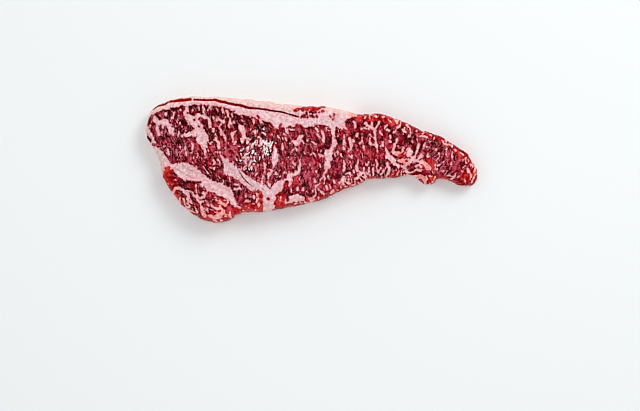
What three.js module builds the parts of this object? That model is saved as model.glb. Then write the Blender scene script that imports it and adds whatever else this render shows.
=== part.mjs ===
// A raw beef steak: a thick slice cut across the grain, lying flat on its lower cut face.
// Millimetres, +Z up, the length along X. The origin is under the middle of the steak, on the surface it lies on.
import * as THREE from "three";
import { ImprovedNoise } from "three/addons/math/ImprovedNoise.js";
import { mergeGeometries, mergeVertices } from "three/addons/utils/BufferGeometryUtils.js";

// ---- Driving dimensions ----
const EYE_THICKNESS = 21; // the slice at its thickest, through the eye muscle
const HEEL_THICKNESS = 17.5; // the broad end
const TAIL_THICKNESS = 12.5; // the narrow end
const RIM_SHARE = 0.38; // the rim's widest line, as a share of the thickness there
const CROWN_ROUND = 8.5; // how far in from the rim the upper face starts to fall away
const BASE_ROUND = 2.6; // the same for the underside
const CROWN_POWER = 2.4; // 2 is a round shoulder, more is a squarer one
const RIM_ROUGHNESS = 0.9; // how far the rim strays from its curve, at most
const RIM_BITE = 5.5; // the length of one such bite
const WELD = 1e-3; // points closer than this are one
const RIM_WANDER = 0.22; // how far the rim's widest line strays up or down, as a share of its height
const STATIONS = 108; // steps along the length
const TOP_ROWS = 40; // steps across the upper face
const BASE_INSETS = [0.7, 1.9, 4]; // rows of the underside, in from the rim

// The slice's rim in plan, as ribs: where each crosses the fat cap's side, and where it reaches the lean side.
// The first and the last rib are the two ends, where both sides meet.
const RIBS = [
  { cap: [-124.35, 21.4], lean: [-124.35, 21.4] },
  { cap: [-123.8, 27.0], lean: [-123.6, 16.9] },
  { cap: [-122.4, 32.3], lean: [-121.7, 12.4] },
  { cap: [-119.8, 37.5], lean: [-118.6, 8.5] },
  { cap: [-115.3, 40.8], lean: [-115.9, 4.6] },
  { cap: [-108.5, 43.4], lean: [-113.6, -4.0] },
  { cap: [-98.5, 46.3], lean: [-111.4, -13.1] },
  { cap: [-88.0, 47.2], lean: [-104.2, -24.2] },
  { cap: [-77.0, 47.1], lean: [-95.8, -35.2] },
  { cap: [-66.0, 46.5], lean: [-84.5, -43.4] },
  { cap: [-56.0, 45.8], lean: [-72.5, -47.2] },
  { cap: [-47.0, 45.0], lean: [-61.2, -45.4] },
  { cap: [-41.0, 44.3], lean: [-56.3, -41.2] },
  { cap: [-35.0, 43.6], lean: [-49.6, -38.7] },
  { cap: [-25.0, 42.3], lean: [-37.5, -38.9] },
  { cap: [-13.3, 40.7], lean: [-24.0, -36.7] },
  { cap: [0.0, 40.1], lean: [-8.0, -33.9] },
  { cap: [12.0, 39.3], lean: [7.0, -30.1] },
  { cap: [22.0, 37.6], lean: [17.5, -25.9] },
  { cap: [30.5, 34.9], lean: [26.2, -21.4] },
  { cap: [37.5, 34.2], lean: [35.5, -18.4] },
  { cap: [44.0, 34.4], lean: [42.2, -13.9] },
  { cap: [52.0, 34.1], lean: [52.0, -14.1] },
  { cap: [61.0, 31.2], lean: [63.0, -13.5] },
  { cap: [71.0, 27.3], lean: [74.5, -11.4] },
  { cap: [78.5, 23.9], lean: [79.6, -14.4] },
  { cap: [84.0, 21.6], lean: [84.8, -19.4] },
  { cap: [89.5, 20.2], lean: [90.6, -17.6] },
  { cap: [95.0, 17.8], lean: [94.4, -13.8] },
  { cap: [101.0, 14.6], lean: [101.0, -14.6] },
  { cap: [109.5, 9.0], lean: [110.5, -18.8] },
  { cap: [117.5, 3.1], lean: [118.3, -19.7] },
  { cap: [120.8, -2.4], lean: [122.2, -17.2] },
  { cap: [123.3, -6.5], lean: [124.0, -13.8] },
  { cap: [124.35, -10.6], lean: [124.35, -10.6] },
];

// How the thickness runs along the slice.
const THICKNESS_ALONG = [
  { x: -125, thickness: HEEL_THICKNESS - 2 },
  { x: -100, thickness: HEEL_THICKNESS },
  { x: -50, thickness: EYE_THICKNESS },
  { x: 0, thickness: EYE_THICKNESS - 0.6 },
  { x: 50, thickness: EYE_THICKNESS - 2.6 },
  { x: 90, thickness: TAIL_THICKNESS + 2 },
  { x: 125, thickness: TAIL_THICKNESS },
];

// Muscles that stand a little proud of the cut face.
const SWELLS = [
  { at: [-72, 16], across: 30, rise: 0.9 }, // the eye
  { at: [-88, -28], across: 15, rise: 1.1 }, // the cap muscle at the broad end
  { at: [-6, 4], across: 24, rise: 0.7 },
  { at: [48, 12], across: 20, rise: 1.0 },
  { at: [104, -4], across: 13, rise: 1.2 }, // the tail
  { at: [86, -16], across: 5, rise: 1.4 }, // the loose tag of trim on the lean side
];

// Seams of fat and silverskin between the muscles, where the cut face dips.
const SEAMS = [
  { path: [[-112, 0], [-99, -6], [-80, -15], [-65, -23], [-54, -32], [-50, -40]], halfWidth: 4.2, depth: 2.1 },
  { path: [[-67, 1], [-60, -9], [-50, -19], [-37, -28], [-33, -38]], halfWidth: 3.0, depth: 1.2 },
  { path: [[18, 34], [16, 24], [15, 14], [12, 3], [8, -10], [1, -28]], halfWidth: 3.0, depth: 1.4 },
  { path: [[60, 7], [65, -3], [76, -9], [84, -12], [95, -13]], halfWidth: 3.6, depth: 1.9 },
  { path: [[-120, 38], [-98, 42.5], [-75, 42], [-48, 37.5], [-20, 32.5], [-6, 30]], halfWidth: 2.2, depth: 1.5 },
];

// The unevenness of a hand-cut face: bumps of three sizes, from the sag of a muscle to its coarse bundles.
const BUMPS = [
  { size: 34, height: 1.1 },
  { size: 15, height: 0.6 },
  { size: 7.5, height: 0.45 },
];

// ---- Plan ----
const noise = new ImprovedNoise();
const toVector = ([x, y]) => new THREE.Vector3(x, y, 0);
const capSide = new THREE.CatmullRomCurve3(RIBS.map((rib) => toVector(rib.cap)), false, "centripetal");
const leanSide = new THREE.CatmullRomCurve3(RIBS.map((rib) => toVector(rib.lean)), false, "centripetal");

// Curve parameters of the stations, spaced so that neither side of the rim moves on further than the other ones do.
function stationParameters() {
  const fineSteps = STATIONS * 20;
  const travelled = [0];
  for (let i = 1; i <= fineSteps; i++) {
    const [from, to] = [(i - 1) / fineSteps, i / fineSteps];
    const capStep = capSide.getPoint(from).distanceTo(capSide.getPoint(to));
    const leanStep = leanSide.getPoint(from).distanceTo(leanSide.getPoint(to));
    travelled.push(travelled[i - 1] + Math.max(capStep, leanStep));
  }
  const parameters = [];
  let next = 0;
  for (let station = 0; station <= STATIONS; station++) {
    const wanted = (travelled[fineSteps] * station) / STATIONS;
    while (next < fineSteps && travelled[next] < wanted) next++;
    parameters.push(next / fineSteps);
  }
  return parameters;
}

// A station's two rim points, each moved in or out a little along its rib by the knife's unevenness.
function ragged(t) {
  const [cap, lean] = [capSide.getPoint(t), leanSide.getPoint(t)];
  const outward = new THREE.Vector3().subVectors(cap, lean).normalize();
  const moved = (point) => {
    const rough = RIM_ROUGHNESS * noise.noise(point.x / RIM_BITE, point.y / RIM_BITE, 0.5);
    return point.clone().addScaledVector(outward, rough);
  };
  return { cap: moved(cap), lean: moved(lean) };
}

const stations = stationParameters().map(ragged);
const rim = [...stations.map((s) => s.lean), ...stations.map((s) => s.cap).reverse()];

function distanceToSegment(x, y, a, b) {
  const [dx, dy] = [b.x - a.x, b.y - a.y];
  const squared = dx * dx + dy * dy;
  const share = squared ? THREE.MathUtils.clamp(((x - a.x) * dx + (y - a.y) * dy) / squared, 0, 1) : 0;
  return Math.hypot(x - a.x - share * dx, y - a.y - share * dy);
}

function distanceToLine(x, y, points) {
  let nearest = Infinity;
  for (let i = 1; i < points.length; i++)
    nearest = Math.min(nearest, distanceToSegment(x, y, points[i - 1], points[i]));
  return nearest;
}

// ---- Heights ----
const SEAM_STEPS = 24;
const seamLines = SEAMS.map(({ path, halfWidth, depth }) => ({
  points: new THREE.CatmullRomCurve3(path.map(toVector)).getPoints(SEAM_STEPS),
  halfWidth,
  depth,
}));

function slabThickness(x) {
  const last = THICKNESS_ALONG.length - 1;
  let i = 0;
  while (i < last - 1 && x > THICKNESS_ALONG[i + 1].x) i++;
  const [from, to] = [THICKNESS_ALONG[i], THICKNESS_ALONG[i + 1]];
  const share = THREE.MathUtils.smoothstep(x, from.x, to.x);
  return THREE.MathUtils.lerp(from.thickness, to.thickness, share);
}

const hill = (distance, reach) => Math.exp(-((distance / reach) ** 2));

function relief(x, y) {
  let height = 0;
  for (const { at, across, rise } of SWELLS) height += rise * hill(Math.hypot(x - at[0], y - at[1]), across);
  for (const { points, halfWidth, depth } of seamLines) height -= depth * hill(distanceToLine(x, y, points), halfWidth);
  for (const { size, height: rise } of BUMPS) height += rise * noise.noise(x / size, y / size, size);
  return height;
}

// 0 at the rim, rising along a rounded shoulder to 1 at full height.
function shoulder(inward) {
  const left = 1 - Math.min(inward, 1);
  return (1 - left ** CROWN_POWER) ** (1 / CROWN_POWER);
}

function rimHeight(x, y) {
  const wander = 1 + RIM_WANDER * noise.noise(x / BUMPS[1].size, y / BUMPS[1].size, 3.5);
  return slabThickness(x) * RIM_SHARE * wander;
}

function upperHeight(x, y, fromRim) {
  const low = rimHeight(x, y);
  return low + (slabThickness(x) + relief(x, y) - low) * shoulder(fromRim / CROWN_ROUND);
}

function lowerHeight(x, y, fromRim) {
  return rimHeight(x, y) * (1 - shoulder(fromRim / BASE_ROUND));
}

// ---- Surface ----
// Rows bunch towards the rim, where the face turns down.
const bunched = (row) => 0.5 - 0.5 * Math.cos((Math.PI * row) / TOP_ROWS);
const topShares = Array.from({ length: TOP_ROWS + 1 }, (_, row) => () => bunched(row));
// The underside's rows keep their insets, except near the ends, where the slice is too narrow for them.
const evenShare = (row) => (0.5 * row) / (BASE_INSETS.length + 1);
const insetShare = (inset, row) => (width) => Math.min(inset / Math.max(width, WELD), evenShare(row));
const nearShares = [() => 0, ...BASE_INSETS.map((inset, i) => insetShare(inset, i + 1))];
const farShares = [...nearShares].reverse().map((share) => (width) => 1 - share(width));
const baseShares = [...nearShares, () => 0.5, ...farShares];

// One face of the slice: a grid from end to end and from the lean side to the cap side, lifted to its height.
function face(shares, height, facesUp) {
  const rows = shares.length - 1;
  const sheet = new THREE.PlaneGeometry(1, 1, rows, STATIONS);
  const position = sheet.getAttribute("position");
  stations.forEach(({ cap, lean }, station) => {
    const width = cap.distanceTo(lean);
    shares.forEach((share, row) => {
      const { x, y } = new THREE.Vector3().lerpVectors(lean, cap, share(width));
      const onRim = row === 0 || row === rows;
      position.setXYZ(station * (rows + 1) + row, x, y, height(x, y, onRim ? 0 : distanceToLine(x, y, rim)));
    });
  });
  if (!facesUp) sheet.index.array.reverse();
  return sheet;
}

// Joins the faces at the rim, drops the triangles that close up at the two ends, and centres the slice on Z.
function closedSolid(faces) {
  const joined = mergeGeometries(faces);
  joined.deleteAttribute("normal");
  joined.deleteAttribute("uv");
  const welded = mergeVertices(joined, WELD);
  const kept = [];
  for (let i = 0; i < welded.index.count; i += 3) {
    const corners = [0, 1, 2].map((k) => welded.index.getX(i + k));
    if (new Set(corners).size === 3) kept.push(...corners);
  }
  welded.setIndex(kept);
  welded.computeVertexNormals();
  welded.computeBoundingBox();
  const middle = welded.boundingBox.getCenter(new THREE.Vector3());
  return welded.translate(-middle.x, -middle.y, 0);
}

function makeSteak() {
  const geometry = closedSolid([face(topShares, upperHeight, true), face(baseShares, lowerHeight, false)]);
  const rawBeef = new THREE.MeshStandardMaterial({ color: 0x8c2f3a, roughness: 0.42, metalness: 0 });
  const mesh = new THREE.Mesh(geometry, rawBeef);
  mesh.name = "steak";
  return mesh;
}

const steak = new THREE.Group();
steak.add(makeSteak());

export default steak;
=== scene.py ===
"""The looks of a raw beef steak: its marbled, moist cut face, its fat cap and the seams between its muscles.

Plan positions are (X, Y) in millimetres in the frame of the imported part: X runs along the steak to its thin
tail, Y across it to the fat cap, Z up out of the cut face.
"""

import math
from collections import namedtuple

import bmesh
import bpy
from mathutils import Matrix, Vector


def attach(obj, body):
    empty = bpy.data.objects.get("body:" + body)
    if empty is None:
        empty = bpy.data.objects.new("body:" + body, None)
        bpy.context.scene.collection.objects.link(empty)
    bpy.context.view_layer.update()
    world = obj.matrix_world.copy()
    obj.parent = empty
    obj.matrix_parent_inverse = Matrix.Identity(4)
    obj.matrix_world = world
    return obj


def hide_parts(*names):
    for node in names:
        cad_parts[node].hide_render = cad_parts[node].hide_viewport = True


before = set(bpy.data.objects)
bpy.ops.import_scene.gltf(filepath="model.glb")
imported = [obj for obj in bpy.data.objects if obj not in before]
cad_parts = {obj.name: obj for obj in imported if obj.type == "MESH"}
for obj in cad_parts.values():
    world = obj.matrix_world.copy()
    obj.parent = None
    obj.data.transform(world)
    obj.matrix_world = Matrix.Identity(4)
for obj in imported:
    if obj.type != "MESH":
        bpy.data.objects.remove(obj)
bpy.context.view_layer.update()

MM = 0.001

# ---- Sizes, in millimetres ----
VOXEL = 0.7  # the fine surface's step
MERGE_WITHIN = 0.01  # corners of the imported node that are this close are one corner
LINE_STEP = 0.35  # points along a hand-laid line
# The noises that shape the bundles of lean, in sizes across the grain, along it, and through the steak.
FINE_BUNDLE = (1.6, 3.0, 14)
LARGE_BUNDLE = (3.3, 6.4, 22)
# How the bundles bend and fray: the size of the noise that pushes them about, and how far it does so.
BUNDLE_BEND = (9.0, 2.0)
BUNDLE_FRAY = (2.6, 0.5)
CREASE_DEPTH = 0.8
SEAM_GROOVE = 0.3  # how far the edge of a fat seam sinks
BUNDLE_BULGE = 0.3
KNIFE_WAVE = 0.22
KNIFE_MARK = 5.0  # from one knife mark to the next
SIDE_LUMPS = 0.7
LUMP_SIZE = 5.5
LUMP_SQUEEZE = (1, 1, 0.45)  # of the lumps' pattern, which stretches the lumps upwards
STRAY = 6.0  # how far the seams stray below the cut face
STRAY_SIZE = 13.0  # and over what length they change their way
STRAY_HEIGHTS = (2.0, 13.0)  # they stray fully up to the first height, and not at all above the second
FACE_SINK = 5.0  # how far the edges of what lies only in the face have drawn in below the sides
REST_BAND = (0.3, 1.6)  # the relief comes in between these heights above what the steak lies on
LOWEST = (-1.0, -1.0, 0.0)  # in metres: only the height counts

# How the surface is tilted, as its normal's Z.
SIDE_TILTS = (0.5, 0.93)  # all side up to the first, all cut face from the second on
# What lies only in the face has drawn in fully up to the first, and not at all from the second on.
SINK_TILTS = (-0.25, 0.1)

# ---- Rounds of evening out ----
SURFACE_ROUNDS = 6
SURFACE_SHARE = 0.5  # how far each round moves the fine surface
SIDE_ROUNDS = 4
SINK_ROUNDS = 2
MUSCLE_ROUNDS = 120  # between one muscle and the next

# ---- Where the fat and the muscles lie: lines of (X, Y, half width) ----
# The fat cap, which thins out round the broad end.
CAP_FAT = [
    [(-121.5, 35.5, 4.1), (-117, 41, 6.4), (-111.5, 44, 7.6), (-105, 46, 8.1), (-97.5, 47, 8.2),
     (-92, 47, 7.6), (-86, 47, 6.4), (-80, 47, 6.8), (-71, 47, 7.6), (-65, 46.5, 8.3), (-60, 46, 9.4),
     (-56, 46, 12.2), (-50, 45, 12.9), (-45, 44.5, 13.1), (-40, 44, 13.6), (-35, 43.5, 16), (-30, 43, 17),
     (-26.5, 42.5, 20.2), (-21.5, 42, 20), (-17, 41.5, 17.8), (-12, 41, 17), (-7, 40.5, 16.5),
     (-3, 40, 16.5), (3, 40, 15.2), (9, 40, 15.2), (13, 39.5, 15.7), (17, 38.5, 17.8), (22.5, 37, 15.5),
     (26, 35.5, 8.6), (29.5, 34.5, 4.4)],
]

# The broad seams and pools, from the broad end to the tail, then the cap's right end and the lower edge.
SEAM_FAT = [
    # the rim of the broad end
    [(-121.5, 35.5, 3.8), (-122.5, 31, 3), (-123, 26, 3), (-123, 21.5, 3.4), (-121.5, 17, 3.4),
     (-119, 12.5, 2.6), (-115.8, 8, 2.6), (-112.8, 4, 2.9), (-110.6, -0.5, 3.3), (-110.2, -4.5, 3.2),
     (-112, -8.5, 2.3), (-113, -12, 1.2)],
    # the seam under the eye
    [(-108, -3, 2.6), (-103, -5.6, 2.4), (-99, -7, 4.6), (-95.5, -8.4, 5.9), (-92, -9.9, 6.5),
     (-88, -11.4, 5.6), (-84, -13.4, 4), (-80, -16, 3.7), (-76, -19.4, 4.2), (-72, -21, 4.2),
     (-68, -22.6, 4.5), (-64, -24.6, 4.3), (-61, -27, 3.3), (-59.3, -29.8, 2.8), (-57.3, -32.8, 2.1),
     (-55, -35.2, 1.5), (-52.5, -36.3, 0.8)],
    # the pool in the eye, and its arms
    [(-92, 38.6, 1.2), (-92.8, 35, 2.4), (-90, 31.4, 3.8), (-87.3, 28.4, 4.3), (-84.5, 24.5, 3.1),
     (-83, 21.5, 4), (-82, 18, 4.8), (-81, 14.5, 4.6), (-79.5, 11, 2.8), (-79.3, 7.5, 1.7), (-79, 4, 1),
     (-78.5, 1.5, 0.8)],
    [(-98.8, 17, 0.4), (-95, 17.6, 1), (-91.5, 18.3, 1.9), (-87, 18.8, 2.6)],
    [(-87, 31, 2.2), (-83, 32, 1.5), (-79.5, 31, 0.9), (-77, 29.8, 0.9), (-75.3, 27.3, 1.1), (-74.8, 25, 0.8),
     (-75.8, 23, 0.4)],
    [(-121.5, 32, 2.2), (-118, 30, 2.2), (-114.5, 27.7, 1.9), (-110.5, 27.3, 2.6), (-107.3, 26, 2.6),
     (-105, 23, 2.5), (-103.7, 20, 2), (-102.3, 17.5, 1.3), (-101, 15.6, 0.6)],
    # the streak that runs from the eye down into the middle seam, and that seam
    [(-71.2, 18.7, 0.4), (-70.7, 16.5, 0.9), (-70.8, 14, 1.1), (-69.3, 11.5, 1.1), (-68.8, 8.5, 1),
     (-68.5, 5.5, 0.8), (-67.6, 3, 0.9), (-65.8, 0.8, 1.5), (-62.8, -3, 3.6), (-60, -8, 5), (-53.6, -12, 3.8),
     (-48.5, -16.5, 3.9), (-44, -19.4, 3.7), (-38.5, -20.5, 3.5), (-34, -22.5, 4.1), (-31.5, -27, 4.6),
     (-32, -32, 4.4), (-32.5, -36, 4)],
    [(-62.4, 4.5, 0.5), (-62, 1.5, 0.8), (-62, -1, 1.2)],
    [(-54.6, 28.5, 0.4), (-53.8, 26, 0.9), (-52.3, 23.8, 1.6), (-51, 20.5, 1.5), (-50, 17.5, 1.5),
     (-50.6, 14.5, 1.4), (-51.4, 12, 0.9)],
    [(-50, 17, 1.2), (-48, 14.3, 0.9), (-47, 12, 0.9), (-45.5, 10.8, 0.6)],
    [(-36.2, 3, 0.4), (-35.6, 0, 0.6), (-35, -4, 0.7), (-34.7, -8, 0.7), (-35.5, -11.5, 0.8),
     (-36.6, -15, 0.9), (-37, -18, 1.4)],
    [(-27.2, 9.8, 0.5), (-27, 7.5, 1.1), (-27, 4, 1.5), (-27.6, 0, 1.8), (-28, -3.5, 1.9), (-29, -7, 1),
     (-30.3, -10, 0.9), (-31.8, -13, 0.7), (-32, -17, 0.8), (-32, -20, 1.2)],
    # the fields of fat along the lower edge
    [(-27.5, -22.5, 4), (-23.8, -19.8, 3.9), (-20.5, -16.3, 1.5), (-17.2, -14.5, 1.9), (-16.2, -11.5, 1.2),
     (-16.5, -9.4, 0.4)],
    [(-16.2, -13, 1.6), (-16, -16, 1.6), (-15.7, -19, 0.9), (-15.3, -22, 0.6), (-14.8, -24.3, 0.4)],
    [(-9, -1.6, 0.5), (-8.3, -3.8, 1.2), (-8.8, -6.5, 1.2), (-10.2, -9, 1.4), (-12.2, -11.3, 1.6),
     (-14.5, -12, 1.2)],
    [(-9.3, -9, 1), (-9.3, -12.5, 0.9), (-8.9, -15, 0.5), (-7.5, -16.5, 0.3)],
    [(-19.3, -28, 0.5), (-18.6, -31.5, 1.4), (-16, -30, 3.4), (-11, -29.8, 3.7), (-6.5, -30.6, 2.7),
     (-1, -31, 2.4), (2, -29.6, 1.2)],
    # a patch of fat in the middle, and the upright seam to the right of it
    [(-6.3, 17.3, 0.7), (-8, 16.2, 1.3), (-10, 14.5, 1.1), (-12.5, 12.8, 1.1), (-14.6, 13, 0.8)],
    [(-12.5, 12.5, 1.2), (-11, 11.3, 1.2), (-8.6, 13, 1.3), (-6.5, 12.8, 0.8), (-5.3, 11.5, 0.6)],
    [(16.2, 23, 1.6), (16.2, 19.5, 1.3), (16, 15, 1.6), (15.9, 10.5, 1.9), (14.2, 7, 2.3), (12.4, 4, 2.9),
     (12.3, 0, 2.7), (12, -4, 2.1), (10.6, -8, 1.4), (9.3, -11.5, 1), (7.5, -14, 0.9), (6.4, -17, 0.8),
     (4.3, -19.5, 0.8), (2.8, -20.5, 1), (2.7, -23.5, 0.9), (2.8, -26.5, 0.6), (2, -29.5, 1.2)],
    [(8.7, -13, 0.7), (9.4, -15.5, 0.5), (9.2, -18, 0.4)],
    # the wedge before the tail, and the mottled patch beside it
    [(55, 9.3, 0.4), (55.2, 7, 1), (56.3, 4, 1.5), (57.8, 1, 2.5), (60, -1, 2.5), (62.5, -3, 1.9),
     (64.8, -5, 0.9), (64.8, -8, 0.7), (64, -11, 0.6), (64, -12.5, 0.4)],
    [(56.5, -2, 0.6), (57, -5, 0.8), (57.2, -9, 1), (56, -12, 0.8)],
    [(63.9, 15.3, 0.8), (62.4, 12.5, 0.9), (61.6, 9.5, 0.8), (61, 6.5, 0.9), (62, 4.6, 1.3), (64.8, 4.2, 1.7),
     (67, 4.6, 1.2), (67.6, 7.4, 0.9)],
    [(66.6, 8.4, 0.7), (64.6, 9.4, 0.6)],
    [(72.4, 7, 1.7), (73.6, 4.5, 1.9), (73, 1.6, 1.8), (76, 0.4, 1.5)],
    [(63.5, -1.5, 1.3), (66.5, -0.8, 1.7), (69.5, -2, 2), (72.5, -1, 1.9), (76, 0, 1.8), (79, 1.2, 1.9),
     (81.5, 3, 1.5), (82.3, 5.5, 0.7), (83.2, 8, 0.6), (84.3, 11.5, 0.5)],
    [(70, -4, 1.5), (73, -3, 1), (77, -1.6, 1.3), (80.5, -2.2, 1.7), (83.5, -3.4, 1.7), (86, -6.3, 2),
     (88, -6.8, 1.4)],
    [(66.4, -5, 0.9), (68.6, -6.4, 0.9), (71, -8, 0.7)],
    [(92.5, -7.2, 1.3), (91.3, -5.9, 0.7), (95, -4, 0.5), (98, -2.2, 0.4), (99.7, 0, 0.4)],
    # the cap's right end
    [(19.5, 27, 6.6), (22, 29, 4.6), (25, 31.8, 3), (29, 33.4, 2.8), (33, 34.6, 1.6)],
    # the rings and patches along the lower edge
    [(33.8, -5, 0.6), (33.6, -8, 0.7), (34.6, -11, 1)],
    [(32.8, -15, 1.1), (34.6, -13.5, 1.4), (35.5, -11.5, 0.9), (37.5, -10.4, 1.7), (39.2, -10.5, 1.2),
     (39.4, -13, 1.1), (40.8, -14.4, 0.7)],
    [(23.8, -18.4, 0.9), (22.8, -15.6, 1), (23.5, -13, 1), (25.2, -11.3, 1.1), (27.6, -10.8, 1),
     (29.8, -11.6, 0.9)],
]

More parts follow.
